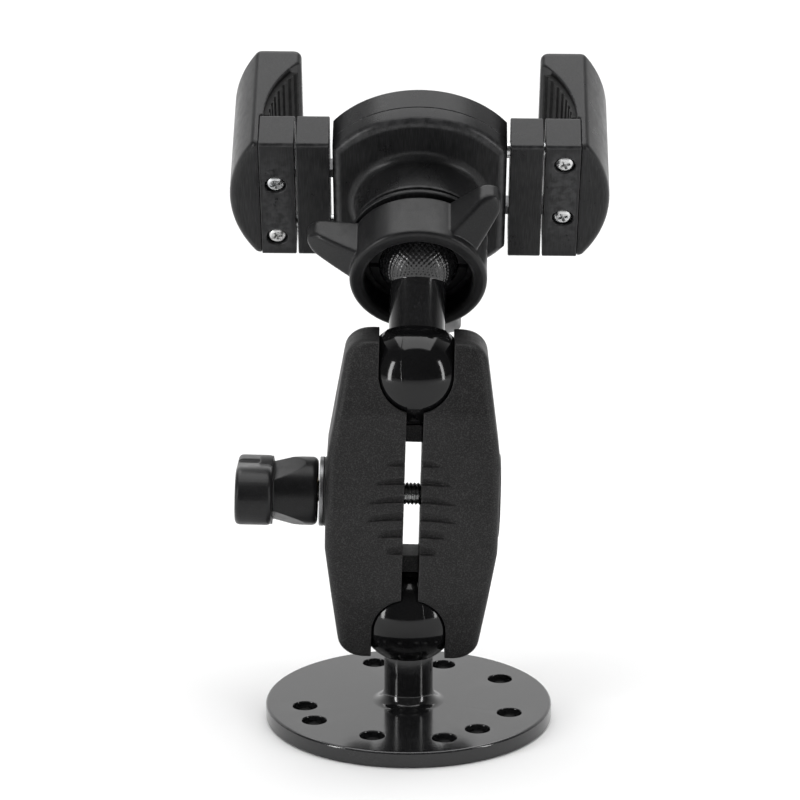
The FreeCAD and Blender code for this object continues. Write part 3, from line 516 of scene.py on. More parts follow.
@dataclass(frozen=True)
class Finish:
    """One surface: its colours, shine and grain, with sizes in millimetres."""

    slot: str
    tone: Colour
    drift: Colour
    edge: Colour
    rough: Flat
    grain: Grain
    grain_size: float
    relief: float
    metallic: float = 0.0
    specular: float = 0.5
    coat: float = 0.0
    cloud_size: float = 9.0
    worn_share: float = 0.5
    way: Matrix = field(default_factory=Matrix)

    def material(self) -> bpy.types.Material:
        """Build the procedural material once.

        Returns:
            The material, named after the finish.
        """
        name = self.slot + "_finish"
        ready = bpy.data.materials.get(name)
        if ready:
            return ready
        cloud_range, speck_range = (0.35, 0.68), (0.42, 0.72)
        patch_range, smudge_range = (0.38, 0.62), (0.7, 1.3)
        most_speck = 0.55 if self.grain is Grain.GRAINED else 0.25
        patch_size, patch_detail, least_patch = 1.6, 5, 0.15
        smudge_share, coat_rough = 5, 0.12
        nodes = Nodes(name)
        place = nodes.add("ShaderNodeTexCoord", {}).outputs["Object"]
        cloud = nodes.noise(place, self.cloud_size)
        fine = self.fine_grain(nodes, place)
        base = nodes.mix(nodes.spread(cloud, cloud_range, (0, 1)), (*self.tone, 1), (*self.drift, 1))
        base = nodes.mix(nodes.spread(fine, speck_range, (0, most_speck)), base, (*self.edge, 1))
        worn = nodes.add("ShaderNodeAttribute", {}, attribute_name=WORN).outputs["Fac"]
        patch = nodes.spread(nodes.noise(place, patch_size, patch_detail), patch_range, (least_patch, 1))
        worn = nodes.times(nodes.times(worn, patch), self.worn_share)
        nodes.tree.links.new(nodes.mix(worn, base, (*self.edge, 1)), nodes.shader.inputs["Base Color"])
        finer = nodes.noise(place, self.cloud_size / smudge_share)
        smudge = nodes.add("ShaderNodeMath", {0: cloud, 1: finer}, operation="ADD").outputs[0]
        nodes.tree.links.new(nodes.spread(smudge, smudge_range, self.rough), nodes.shader.inputs["Roughness"])
        bump = nodes.add("ShaderNodeBump", {"Height": fine, "Distance": self.relief * MM, "Strength": 1.0})
        nodes.tree.links.new(bump.outputs[0], nodes.shader.inputs["Normal"])
        nodes.shader.inputs["Metallic"].default_value = self.metallic
        nodes.shader.inputs["Specular IOR Level"].default_value = self.specular
        nodes.shader.inputs["Coat Weight"].default_value = self.coat
        nodes.shader.inputs["Coat Roughness"].default_value = coat_rough
        return nodes.material

    def fine_grain(self, nodes: Nodes, place: bpy.types.NodeSocket) -> bpy.types.NodeSocket:
        """Fine relief of this finish.

        Args:
            nodes: The material under construction.
            place: Coordinates on the piece.

        Returns:
            Height from 0 to 1.
        """
        stretch, finer, share, detail = 24, 0.7, 0.5, 4
        soft_detail, crisp_detail = 2, 5
        if self.grain is Grain.BRUSHED:
            inputs = {"Vector": place, "Rotation": tuple(self.way.to_euler()), "Scale": (1, stretch, 1)}
            turned = nodes.add("ShaderNodeMapping", inputs, vector_type="TEXTURE")
            return nodes.noise(turned.outputs[0], self.grain_size, detail)
        if self.grain is Grain.GRAINED:
            cells = nodes.add("ShaderNodeTexVoronoi", {"Vector": place, "Scale": 1 / (self.grain_size * MM)})
            rough = nodes.noise(place, self.grain_size * finer, detail)
            return nodes.mix(share, cells.outputs["Distance"], rough)
        return nodes.noise(place, self.grain_size, soft_detail if self.grain is Grain.PEEL else crisp_detail)


# ---------------------------------------------------------------- frames of the sub-assemblies

def joint(name: str) -> dict:
    """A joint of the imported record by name."""
    return next(one for one in frame["joints"] if one["name"] == name)


def framed(origin: Sequence[float], x: Sequence[float], z: Sequence[float]) -> Matrix:
    """Matrix from millimetres in a local frame to metres in the row frame.

    Args:
        origin: Origin in the row frame.
        x: The local X axis.
        z: The local Z axis.

    Returns:
        The matrix.
    """
    ahead, up = Vector(x).normalized(), Vector(z).normalized()
    turned = Matrix((ahead, up.cross(ahead), up)).transposed().to_4x4()
    return Matrix.Translation(origin) @ turned @ Matrix.Scale(MM, 4)


LOWER_BALL = Vector(joint("lower_tilt")["pos_m"])
UPPER_BALL = Vector(joint("upper_tilt")["pos_m"])
SOCKET_BALL = Vector(joint("holder_tilt")["pos_m"])
ARM_X = Vector(joint("lower_tilt")["axis"])
HOLDER_Z = Vector(joint("holder_spin")["axis"])
BASE = Matrix.Scale(MM, 4)
ARM = framed(LOWER_BALL, ARM_X, UPPER_BALL - LOWER_BALL)
STEM = framed(UPPER_BALL, ARM_X, joint("stem_spin")["axis"])
SWIVEL = 20.0
SOCKET_HIGH = 17.0
HOLDER = framed(SOCKET_BALL - HOLDER_Z * SOCKET_HIGH * MM, joint("jaw_right_slide")["axis"], HOLDER_Z)
SIDES = {"right": HOLDER, "left": HOLDER @ HALF_TURN_Z}


POWDER_COAT = Finish("black_powder_coat", (0.005, 0.005, 0.0055), (0.009, 0.009, 0.0095), (0.05, 0.05, 0.052),
                     (0.10, 0.17), Grain.PEEL, 0.55, 0.004, coat=0.25, worn_share=0.35)
BALL_RUBBER = Finish("rubber_cover", (0.003, 0.003, 0.0033), (0.005, 0.005, 0.0055), (0.015, 0.015, 0.015),
                     (0.07, 0.13), Grain.MOULDED, 0.30, 0.0015, specular=0.32, worn_share=0.2)
COMPOSITE = Finish("grained_composite", (0.0085, 0.0083, 0.0085), (0.013, 0.0127, 0.013),
                   (0.060, 0.059, 0.059), (0.42, 0.58), Grain.GRAINED, 0.27, 0.045,
                   specular=0.2, worn_share=0.5)
SATIN = Finish("satin_plastic", (0.0055, 0.0055, 0.006), (0.009, 0.009, 0.0095), (0.040, 0.040, 0.041),
               (0.28, 0.42), Grain.MOULDED, 0.22, 0.010, specular=0.26, worn_share=0.45)
DARK_STEEL = Finish("dark_steel", (0.16, 0.16, 0.165), (0.21, 0.21, 0.215), (0.45, 0.45, 0.45),
                    (0.30, 0.45), Grain.MOULDED, 0.25, 0.006, metallic=1.0, worn_share=0.6)
ZINC = Finish("zinc_steel", (0.56, 0.57, 0.58), (0.64, 0.64, 0.63), (0.80, 0.80, 0.80),
              (0.20, 0.34), Grain.MOULDED, 0.20, 0.004, metallic=1.0, worn_share=0.5)
BRASS = Finish("brass_insert", (0.60, 0.42, 0.16), (0.52, 0.36, 0.14), (0.80, 0.62, 0.30),
               (0.22, 0.36), Grain.MOULDED, 0.22, 0.006, metallic=1.0)
ANODISED = Finish("black_anodised", (0.008, 0.008, 0.0085), (0.013, 0.013, 0.0135), (0.07, 0.07, 0.072),
                  (0.26, 0.38), Grain.BRUSHED, 0.16, 0.010, metallic=0.12, specular=0.24, worn_share=0.5,
                  way=HOLDER.to_3x3().to_4x4())
PAD_RUBBER = Finish("rubber_pad", (0.018, 0.018, 0.018), (0.026, 0.026, 0.026), (0.06, 0.06, 0.06),
                    (0.68, 0.84), Grain.MOULDED, 0.35, 0.03, specular=0.3, worn_share=0.3)
ACETAL = Finish("white_acetal", (0.74, 0.74, 0.71), (0.68, 0.68, 0.65), (0.82, 0.82, 0.80),
                (0.30, 0.42), Grain.MOULDED, 0.4, 0.006)


def fitted(name: str, shape: Shape, place: Matrix, body: str | None, finish: Finish, *nodes: str,
           sharp: float = 40) -> Shape:
    """Finish a piece and set it on its body.

    Args:
        name: Name of the piece.
        shape: The shape in millimetres.
        place: Matrix into the row frame.
        body: Body it moves with, or None for a piece that is left on no body.
        finish: Its surface.
        *nodes: CAD nodes it stands for.
        sharp: Edges beyond this angle, in degrees, stay sharp.

    Returns:
        The piece.
    """
    mark_wear(shape, sharp)
    placed(shape, place)
    shape.name = name
    shape.data.name = name
    shape.data.materials.clear()
    shape.data.materials.append(finish.material())
    shape.modifiers.new("even_faces", "WEIGHTED_NORMAL").keep_sharp = True
    if body:
        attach(shape, body)
    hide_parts(*nodes)
    log.info("%s: %d faces, on %s", name, len(shape.data.polygons), body or "two bodies")
    return shape


def carried(name: str, finish: Finish) -> Shape:
    """Dress a CAD node whose own shape is shown.

    Args:
        name: The node.
        finish: Its surface.

    Returns:
        The node's object.
    """
    piece = frame["nodes"][name]
    if not piece.material_slots:
        piece.data.materials.append(finish.material())
    for holder in piece.material_slots:
        holder.link = "OBJECT"
        holder.material = finish.material()
    log.info("%s: the frame's own shape", name)
    return piece


# ---------------------------------------------------------------- base and ball covers

@dataclass
class Base:
    """Round plate with its post and ball core, in one casting."""

    around: int = 192
    radius: float = 31.75
    thick: float = 3.7
    rim: float = 0.6
    hole: float = 2.7
    hole_rim: float = 0.35
    rectangle: Flat = (15.085, 19.05)
    triangle: float = 23.3
    triangle_turns: tuple[int, ...] = (90, 210, 330)
    front_hole: float = 23.1
    side_hole: float = 23.6
    post: float = 5.4
    cove: float = 2.85
    ball_high: float = 24.3
    core: float = 9.75

    def hole_spots(self) -> list[Flat]:
        """Centres of the nine holes."""
        wide, deep = self.rectangle
        spots = [(i * wide, j * deep) for i in (-1, 1) for j in (-1, 1)]
        for turn in self.triangle_turns:
            angle = math.radians(turn)
            spots.append((self.triangle * math.cos(angle), self.triangle * math.sin(angle)))
        return [*spots, (0, -self.front_hole), (self.side_hole, 0)]

    def build(self) -> None:
        """Turn the casting, drill it and set it on the base."""
        cove_steps, ball_steps, near_pole = 10, 30, 84
        foot = self.post + self.cove
        neck = math.degrees(math.asin(math.sqrt(self.core ** 2 - self.post ** 2) / self.core))
        rim = soft([(0, 0, 0), (self.radius, 0, self.rim), (self.radius, self.thick, self.rim),
                    (foot, self.thick, 0)], looped=False)
        cove = arc((foot, self.thick + self.cove), self.cove, 270, 180, cove_steps)
        ball = arc((0, self.ball_high), self.core, -neck, near_pole, ball_steps)
        casting = lathe([*rim, *cove[1:], *ball, (0, self.ball_high + self.core)], self.around)
        drills = [placed(drill(self.hole, 0, self.thick, self.hole_rim), Matrix.Translation((x, y, 0)))
                  for x, y in self.hole_spots()]
        joined(Join.CUT, casting, *drills)
        fitted("base_casting", casting, BASE, "base", POWDER_COAT, "base_plate")


@dataclass
class BallCover:
    """Rubber shell on a ball core, with its mould seam; the neck leaves it towards -Z."""

    neck: float
    radius: float = 11.25
    inner: float = 9.9
    neck_gap: float = 0.25
    rim: float = 0.9
    seam_high: float = 0.06
    seam_half: float = 0.55
    seam_reach: float = 1.2
    seam_at: float = -73.0

    def shape(self) -> Shape:
        """Turn the shell and raise its seam.

        Returns:
            The shell about the ball's centre.
        """
        near_pole, outer_steps, inner_steps, around_steps = 88, 48, 30, 120
        hole = self.neck + self.neck_gap
        outer_start = -math.degrees(math.acos((hole + self.rim) / self.radius))
        inner_start = -math.degrees(math.acos(hole / self.inner))
        outer = arc((0, 0), self.radius, outer_start, near_pole, outer_steps)
        inside = arc((0, 0), self.inner, near_pole, inner_start, inner_steps)
        profile = [*outer, (0, self.radius), (0, self.inner), *inside]
        seams = [math.radians(self.seam_at + side + step * self.seam_half) for side in (0, 180)
                 for step in (-2, -1, 0, 1, 2)]
        evenly = [2 * math.pi * k / around_steps for k in range(around_steps)]
        around = sorted({round(angle % (2 * math.pi), 5) for angle in evenly + seams})
        rings = []
        for radius, height in profile:
            if radius < TINY:
                rings.append([(0, 0, height)])
                continue
            grown = math.hypot(radius, height) > (self.radius + self.inner) / 2
            ring = []
            for angle in around:
                off = abs((math.degrees(angle) - self.seam_at + 90) % 180 - 90)
                on_seam = grown and off < self.seam_half * self.seam_reach
                lift = 1 + (self.seam_high / self.radius if on_seam else 0)
                ring.append((radius * lift * math.cos(angle), radius * lift * math.sin(angle), height))
            rings.append(ring)
        poles = [k for k, ring in enumerate(rings) if len(ring) == 1]
        ordered = rings[poles[1]:] + rings[:poles[0] + 1]
        return loft(ordered)

    def build(self, name: str, node: str, place: Matrix, body: str) -> None:
        """Make the cover and set it on its body.

        Args:
            name: Name of the piece.
            node: CAD node it stands for.
            place: Frame about the ball's centre.
            body: Body it moves with.
        """
        fitted(name, self.shape(), place, body, BALL_RUBBER, node, sharp=60)


# ---------------------------------------------------------------- arm and clamp

@dataclass
class Arm:
    """Two moulded halves with a socket at each end, drawn together by a bolt."""

    span: float = 55.0
    end: float = 8.5
    half_wide: float = 18.8
    end_wide: float = 14.9
    flat: float = 10.0
    half_deep: float = 12.0
    shoulder_deep: float = 10.4
    shoulder_out: float = 21.15
    end_deep: float = 6.5
    gap: float = 3.7
    corner: float = 4.0
    edge: float = 2.2
    end_edge: float = 0.7
    socket: float = 11.4
    window: float = 8.1
    window_reach: float = 6.35
    recess: float = 9.5
    recess_deep: float = 0.6
    bore: float = 2.75
    head_room: float = 4.75
    head_floor: float = 14.2
    key: Flat = (13.0, 21.15)
    key_deep: float = 4.0
    key_gap: float = 0.3
    groove_pitch: float = 4.0
    groove_deep: float = 1.05
    groove_above: float = 1.45
    groove_below: float = 0.4
    groove_arch: float = 0.013
    grooves: tuple[float, ...] = (4.0, 6.0, 8.5, 8.5, 7.0, 4.5)
    grid: float = 0.21
    kept_faces: float = 0.4

    def middle(self) -> float:
        """Height of the bolt above the lower ball."""
        return self.span / 2

    def width_at(self, height: float) -> float:
        """Arm axis to the outer face at a height."""
        out = max(0.0, abs(height - self.middle()) - self.flat)
        length = self.middle() + self.end - self.flat
        width = self.half_wide - (self.half_wide - self.end_wide) * out / length
        left = min(self.corner, length - out)
        return width - self.corner + math.sqrt(self.corner ** 2 - (self.corner - left) ** 2)

    def depth_at(self, height: float) -> float:
        """Half depth of the arm at a height."""
        out = abs(height - self.middle())
        if out < self.shoulder_out:
            return self.half_deep - (self.half_deep - self.shoulder_deep) * out / self.shoulder_out
        share = (out - self.shoulder_out) / (self.middle() + self.end - self.shoulder_out)
        depth = self.shoulder_deep - (self.shoulder_deep - self.end_deep) * share
        left = min(self.end_edge, self.middle() + self.end - out)
        return depth - self.end_edge + math.sqrt(self.end_edge ** 2 - (self.end_edge - left) ** 2)

    def blank(self) -> Shape:
        """Outside of the right half.

        Returns:
            The half with rounded outer edges, in one skin.
        """
        low, high = -self.end, self.span + self.end
        near = [0, 0.1, 0.3, 0.6, 1.0, 1.6, 2.3, 3.1, 4.0]
        count, rim_steps = 56, 6
        first, long = low + near[-1], high - low - 2 * near[-1]
        inner = [first + long * k / count for k in range(1, count)]
        levels = [low + e for e in near] + inner + [high - e for e in near[::-1]]
        rings = []
        for height in levels:
            wide, deep = self.width_at(height), self.depth_at(height)
            outline = soft([(self.gap / 2, -deep, 0), (wide, -deep, self.edge), (wide, deep, self.edge),
                            (self.gap / 2, deep, 0)], steps=rim_steps)
            rings.append([(x, y, height) for x, y in outline])
        return loft(rings)

    def groove(self, place: int, length: float, face: int) -> Shape:
        """Cutter for one leaf-shaped finger groove, deep along its lower edge.

        Args:
            place: Number of the groove from the lower end.
            length: Length from the gap to its tip.
            face: -1 on the front face, 1 on the rear.

        Returns:
            The cutter on the right half.
        """
        count, into_gap, least, leaf_power = 10, 1.5, 0.0004, 2.2
        lip_out, lip_up, lip_down, lap = 1.0, 0.6, 0.25, 0.05
        step = place - (len(self.grooves) - 1) / 2
        middle = self.middle() + step * self.groove_pitch
        start = self.gap / 2
        sections = []
        for k in range(count + 1):
            share = k / count
            x = start - into_gap + (length + into_gap) * share
            reach = max(0.0, (x - start) / length)
            leaf = math.sqrt(max(least, 1 - reach ** leaf_power))
            base = middle - self.groove_arch * (x - start) ** 2
            top, bottom = base + self.groove_above * leaf, base - self.groove_below * leaf
            face_at = self.depth_at(base)
            section = [(face_at + lip_out, top + lip_up), (face_at + lap, top),
                       (face_at - self.groove_deep * leaf, bottom), (face_at + lip_out, bottom - lip_down)]
            sections.append([(x, face * y, z) for y, z in section])
        return loft(sections)

    def sockets(self) -> list[Shape]:
        """Cutters for both sockets and their windows."""
        tools = []
        for centre, way in ((0.0, 1), (self.span, -1)):
            middle = centre + way * (self.window_reach - self.window)
            far = centre - way * 2 * self.end
            tools.append(globe(self.socket, centre))
            tools.append(placed(slab(ring_of(self.window, centre=(0, middle)), -REACH, REACH), ALONG_Y))
            ends = (min(middle, far), max(middle, far))
            tools.append(block((-self.window, self.window), (-REACH, REACH), ends))
        return tools

    def across(self, radius: float, start: float, end: float) -> Shape:
        """Cylinder on the bolt's line."""
        return placed(slab(ring_of(radius, centre=(0, self.middle())), start, end), ALONG_X)

    def keys(self, gap: float) -> list[Shape]:
        """Blocks across the gap that line the halves up, on both sides of the bolt."""
        found = []
        for way in (-1, 1):
            ends = sorted(self.middle() + way * out for out in (self.key[0] - gap, self.key[1] + gap))
            deep = self.key_deep + gap
            found.append(block((-self.gap / 2 - deep, self.gap / 2 + 1), (-deep, deep), (ends[0], ends[1])))
        return found

    def half(self, right: bool) -> Shape:
        """One half of the arm.

        Args:
            right: Whether it is the half with the keys and the bolt's head.

        Returns:
            The moulded half.
        """
        made = self.blank()
        tools = [self.across(self.recess, self.half_wide - self.recess_deep, REACH),
                 self.across(self.bore, 0, REACH)]
        for place, length in enumerate(self.grooves):
            tools += [self.groove(place, length, face) for face in (-1, 1)]
        if right:
            joined(Join.ADD, made, *self.keys(0))
            tools.append(self.across(self.head_room, self.head_floor, REACH))
        joined(Join.CUT, made, *tools)
        if not right:
            placed(made, Matrix.Diagonal((-1, 1, 1, 1)))
            made.data.flip_normals()
            joined(Join.CUT, made, *self.keys(self.key_gap))
        joined(Join.CUT, made, *self.sockets())
        return moulded(made, self.grid, 1, self.kept_faces)

    def build(self) -> None:
        """Make both halves."""
        fitted("arm_half_keyed", self.half(True), ARM, "arm", COMPOSITE, "arm_right_half", sharp=70)
        fitted("arm_half_plain", self.half(False), ARM, "arm_left", COMPOSITE, "arm_left_half", sharp=70)


@dataclass
class Clamp:
    """Bolt through the arm, the cap over its head and the two washers under the knob."""

    line: float = 27.5
    floor: float = 18.2
    head_out: float = 17.7
    head: float = 4.5
    head_high: float = 3.5
    head_edges: Flat = (0.3, 0.5)
    hexagon: float = 2.3
    hexagon_deep: float = 2.2
    bolt: float = 2.5
    bolt_end: float = 29.5
    pitch: float = 0.8
    thread_deep: float = 0.42
    plain_long: float = 4.0
    cap: float = 9.3
    cap_thick: float = 0.9
    cap_dish: float = 0.16
    cap_lip: float = 1.3
    cap_dish_in: float = 1.6
    cap_edges: Flat = (0.12, 0.35)
    washer: float = 7.6
    washer_hole: float = 2.75
    washer_thick: float = 1.05
    washer_edges: Flat = (0.12, 0.22)

    def frame(self, out: float) -> Matrix:
        """Frame on the bolt's line, with Z outwards along +X of the arm."""
        return ARM @ Matrix.Translation((out, 0, self.line)) @ Matrix.Rotation(QUARTER, 4, "Y")

    def build(self) -> None:
        """Make the bolt, cap and washers."""
        under = -self.head_high
        shank = thread(self.bolt, self.thread_deep, self.pitch, -self.bolt_end - self.head_out, under / 2,
                       self.plain_long)
        head = lathe(soft([(0, under, 0), (self.head, under, self.head_edges[0]),
                           (self.head, 0, self.head_edges[1]), (0, 0, 0)], looped=False), 64)
        socket = slab(ring_of(self.hexagon, 6), -self.hexagon_deep, 1)
        joined(Join.CUT, head, socket)
        joined(Join.ADD, head, shank)
        fitted("clamp_screw", head, self.frame(self.head_out), "arm", ZINC, "clamp_bolt")
        dish = self.cap_thick - self.cap_dish
        fine, rim = self.cap_edges
        lip_in, dish_out = self.cap - self.cap_lip, self.cap - self.cap_dish_in
        cover = lathe(soft([(0, 0, 0), (self.cap, 0, 0.1), (self.cap, self.cap_thick, rim),
                            (lip_in, self.cap_thick, fine), (dish_out, dish, fine), (0, dish, 0)],
                           looped=False), 128)
        fitted("screw_cover", cover, self.frame(self.floor), "arm", SATIN, "bolt_cap")
        rings = (("knob_washer_inner", SATIN), ("knob_washer_outer", DARK_STEEL))
        for index, (node, finish) in enumerate(rings):
            inner, outer = self.washer_edges
            ring = lathe(soft([(self.washer_hole, 0, inner), (self.washer, 0, outer),
                               (self.washer, self.washer_thick, outer),
                               (self.washer_hole, self.washer_thick, inner)]), 96, looped=True)
            place = self.frame(-self.floor - (index + 1) * self.washer_thick)
            fitted(f"thrust_ring_{index + 1}", ring, place, "arm_left", finish, node)


@dataclass
class Knob:
    """Hand knob: a round hub that flattens into a T-shaped wing."""

    start: float = 20.6
    turn: float = -7.6
    hub: float = 7.5
    hub_long: float = 9.8
    hub_edge: float = 1.2
    wing_thick: float = 8.0
    wing_long: float = 28.0
    lobe: float = 6.35
    lobe_edge: float = 1.1
    waist: float = 5.7
    notch_half: float = 2.4
    facet_lean: float = 13.0
    facet_skew: float = 24.0
    facet_out: float = 0.15
    insert: float = 4.0
    insert_long: float = 7.5
    bore: float = 2.75
    grid: float = 0.2

    def wing(self) -> Shape:
        """Wing with rounded lobes and a narrow middle."""
        reach = self.wing_long / 2 - self.lobe
        steps, corner, cut_out, cut_spread = 24, 0.6, 3.0, 1.2
        outline = arc((0, reach), self.lobe, 0, 180, steps) + arc((0, -reach), self.lobe, 180, 360, steps)
        top = self.hub_long + self.wing_thick
        made = slab(outline, self.hub_long, top, self.lobe_edge, self.lobe_edge)
        notches = []
        for way in (-1, 1):
            far, wide = self.waist + cut_out, self.notch_half + cut_spread
            notch = soft([(self.waist, -self.notch_half, corner), (far, -wide, 0),
                          (far, wide, 0), (self.waist, self.notch_half, corner)])
            cutter = slab(notch, self.hub_long - 1, top + 1)
            notches.append(placed(cutter, HALF_TURN_Z) if way < 0 else cutter)
        return joined(Join.CUT, made, *notches)

    def facets(self) -> list[Shape]:
        """Cutters that flatten the hub towards the wing on both sides."""
        cutters = []
        for way in (-1, 1):
            for side in (-1, 1):
                leaning = Matrix.Rotation(math.radians(-way * self.facet_lean), 4, "Y")
                skewed = Matrix.Rotation(math.radians(side * way * self.facet_skew), 4, "Z")
                face = block((0, 9) if way > 0 else (-9, 0), (-14, 14), (-16, 12))
                shift = Matrix.Translation((way * (self.waist + self.facet_out), 0, self.hub_long))
                cutter = placed(face, skewed @ shift @ leaning)
                cutters.append(joined(Join.KEEP, cutter, block((-12, 12), (-20, 20), (-2, self.hub_long))))
        return cutters

    def build(self) -> None:
        """Make the knob and dress its insert."""
        into_wing = 3.0
        end = self.hub_long + into_wing
        hub = lathe(soft([(0, 0, 0), (self.hub, 0, self.hub_edge), (self.hub, end, 0), (0, end, 0)],
                         looped=False), 96)
        for cutter in self.facets():
            joined(Join.CUT, hub, cutter)
        joined(Join.ADD, hub, self.wing())
        holes = drill(self.insert, 0, self.insert_long - 2), drill(self.bore, 0, self.hub_long + 2)
        joined(Join.CUT, hub, *holes)
        moulded(hub, self.grid, 2, 0.5)
        place = (ARM @ Matrix.Translation((-self.start, 0, Clamp.line)) @ Matrix.Rotation(-QUARTER, 4, "Y")
                 @ Matrix.Rotation(math.radians(-self.turn), 4, "Z"))
        fitted("hand_knob", hub, place, "knob", SATIN, "knob_grip", sharp=70)
        carried("knob_insert", BRASS)


# ---------------------------------------------------------------- stem, socket and ring nut

@dataclass
class Stem:
    """Turned shaft with a plain ball core at one end and a knurled ball at the other."""

    radius: float = 6.1
    core: float = 9.75
    span: float = 26.4
    tip: float = 9.0
    knurl_lines: int = 44
    knurl_deep: float = 0.16
    knurl_start: float = 0.3
    knurl_end: float = 2.5
    knurl_flat: float = 1.5
    around: int = 264

    def build(self) -> None:
        """Turn the stem and knurl its tip."""
        leave = math.degrees(math.acos(self.radius / self.core))
        meet = -math.degrees(math.acos(self.radius / self.tip))
        core = arc((0, 0), self.core, -86, leave, 24)
        ball = arc((0, self.span), self.tip, meet, 87, 90)
        profile = [(0, -self.core), *core, *ball, (0, self.span + self.tip)]
        made = lathe(profile, self.around)
        start = self.span + self.tip * math.sin(math.radians(meet)) + self.knurl_start
        for vertex in made.data.vertices:
            x, y, z = vertex.co
            out = math.hypot(x, y)
            if z < start or out < self.knurl_end:
                continue
            around = math.atan2(y, x) * self.knurl_lines / 2
            along = math.atan2(z - self.span, out) * self.knurl_lines / 2
            ridge = min(1.0, self.knurl_flat * abs(math.sin(around + along)) * abs(math.sin(around - along)))
            shrink = 1 - self.knurl_deep * (1 - ridge) / self.tip
            vertex.co = (x * shrink, y * shrink, self.span + (z - self.span) * shrink)
        fitted("ball_stem", made, STEM, "stem", POWDER_COAT, "stem", sharp=60)


@dataclass
class Socket:
    """Slotted cup on the knurled ball and the ring nut that closes it."""

    cup: float = 10.8
    floor: float = 4.0
    top: float = 19.8
    seat: float = 9.15
    slot: float = 1.2
    slot_start: float = 12.5
    sleeve: float = 12.5
    nut: float = 15.0
    nut_start: float = 13.8
    nut_end: float = 25.0
    nut_step: float = 19.6
    mouth: float = 11.8
    nut_edge: float = 0.9
    wing_root: float = 4.3
    wing_tip: float = 2.6
    wing_from: float = 12.9
    wing_to: float = 24.8
    wing_low: float = 3.4
    wing_high: float = 10.3
    wing_first: float = 47.5

    def cup_shape(self) -> Shape:
        """The slotted cup."""
        foot_round, rim_round = 0.5, 0.6
        mouth = math.degrees(math.asin((self.top - SOCKET_HIGH) / self.seat))
        wall = soft([(0, self.floor, 0), (self.cup, self.floor, foot_round), (self.cup, self.top, rim_round),
                     (self.seat * math.cos(math.radians(mouth)), self.top, 0)], looped=False)
        inside = arc((0, SOCKET_HIGH), self.seat, mouth, -86, 32)
        made = lathe([*wall[:-1], *inside, (0, SOCKET_HIGH - self.seat)], 128)
        through, wide = (-REACH, REACH), (-self.slot / 2, self.slot / 2)
        high = (self.slot_start, self.top + 2)
        cuts = [block(through, wide, high), block(wide, through, high)]
        return joined(Join.CUT, made, *cuts)

    def wing(self, angle: float) -> Shape:
        """One wing of the nut, lower and narrower towards its round tip.

        Args:
            angle: Its direction about the nut, in degrees.

        Returns:
            The wing.
        """
        count, most_round, blunt, sink = 22, 1.1, 0.003, 0.8
        low_round, round_share, low_share = 0.5, 0.6, 0.4
        sections = []
        for k in range(count + 1):
            share = math.sin(QUARTER * k / count)
            out = self.wing_from + (self.wing_to - self.wing_from) * share
            wide = self.wing_root + (self.wing_tip - self.wing_root) * share
            left = self.wing_to - out
            wide *= math.sqrt(max(blunt, 1 - max(0.0, 1 - left / self.wing_tip) ** 2))
            tall = self.wing_low + (self.wing_high - self.wing_low) * (1 - share) ** sink
            ease, foot = min(most_round, wide * round_share), min(low_round, wide * low_share)
            outline = soft([(-wide, 0, foot), (wide, 0, foot), (wide, tall, ease), (-wide, tall, ease)])
            sections.append([(out, x, self.nut_start + z) for x, z in outline])
        return placed(loft(sections), Matrix.Rotation(math.radians(angle), 4, "Z"))

    def nut_shape(self) -> Shape:
        """The ring nut with three wings."""
        ring = lathe(soft([(self.sleeve, self.nut_start, 0.2), (self.nut, self.nut_start, 0.4),
                           (self.nut, self.nut_end, self.nut_edge), (self.mouth, self.nut_end, self.nut_edge),
                           (self.mouth, self.nut_step, 0.1), (self.sleeve, self.nut_step, 0.1)]), 144,
                     looped=True)
        joined(Join.ADD, ring, *[self.wing(self.wing_first + 120 * k) for k in range(3)])
        joined(Join.CUT, ring, drill(self.mouth, self.nut_start, self.nut_end),
               slab(ring_of(self.sleeve, 128), self.nut_start - 2, self.nut_step))
        return moulded(ring, 0.2, 3, 0.5)

    def build(self) -> None:
        """Make the cup and the nut."""
        fitted("grip_cup", self.cup_shape(), HOLDER, "collet", SATIN, "collet")
        fitted("winged_nut", self.nut_shape(), HOLDER, "ring_nut", SATIN, "ring_nut", sharp=70)


# ---------------------------------------------------------------- disc, works and jaws

def screw(head: float, top: float, under: float, long: float, shank: float) -> Shape:
    """Cross-recess screw with its head up.

    Args:
        head: Radius of the head.
        top: Height of the head's top.
        under: Height of the head's underside.
        long: Depth of the tip below 0.
        shank: Radius of the shank.

    Returns:
        The screw.
    """
    under_round, dome, crown = 0.15, 0.3, 0.72
    thread_share, pitch_share = 0.18, 0.7
    slot_half, slot_turn, above = 0.13, math.radians(18), 0.05
    high = top - under
    made = lathe(soft([(0, under, 0), (head, under, high * under_round),
                       (head, top - high * dome, high * dome),
                       (head * crown, top, high * dome), (0, top, 0)], looped=False), 64)
    threaded = thread(shank, shank * thread_share, shank * pitch_share, -long, under + high / 2, high)
    joined(Join.ADD, made, threaded)
    deep_end, open_end = (head * 0.28, 0.7, top - high * 0.75), (head * 0.62, 1.3, top + above)
    arms = []
    for quarter in (0, 1):
        wide = head * slot_half
        arm = loft([[(-x, -wide * f, z), (x, -wide * f, z), (x, wide * f, z), (-x, wide * f, z)]
                    for x, f, z in (deep_end, open_end)])
        arms.append(placed(arm, Matrix.Rotation(QUARTER * quarter + slot_turn, 4, "Z")))
    return joined(Join.CUT, made, *arms)


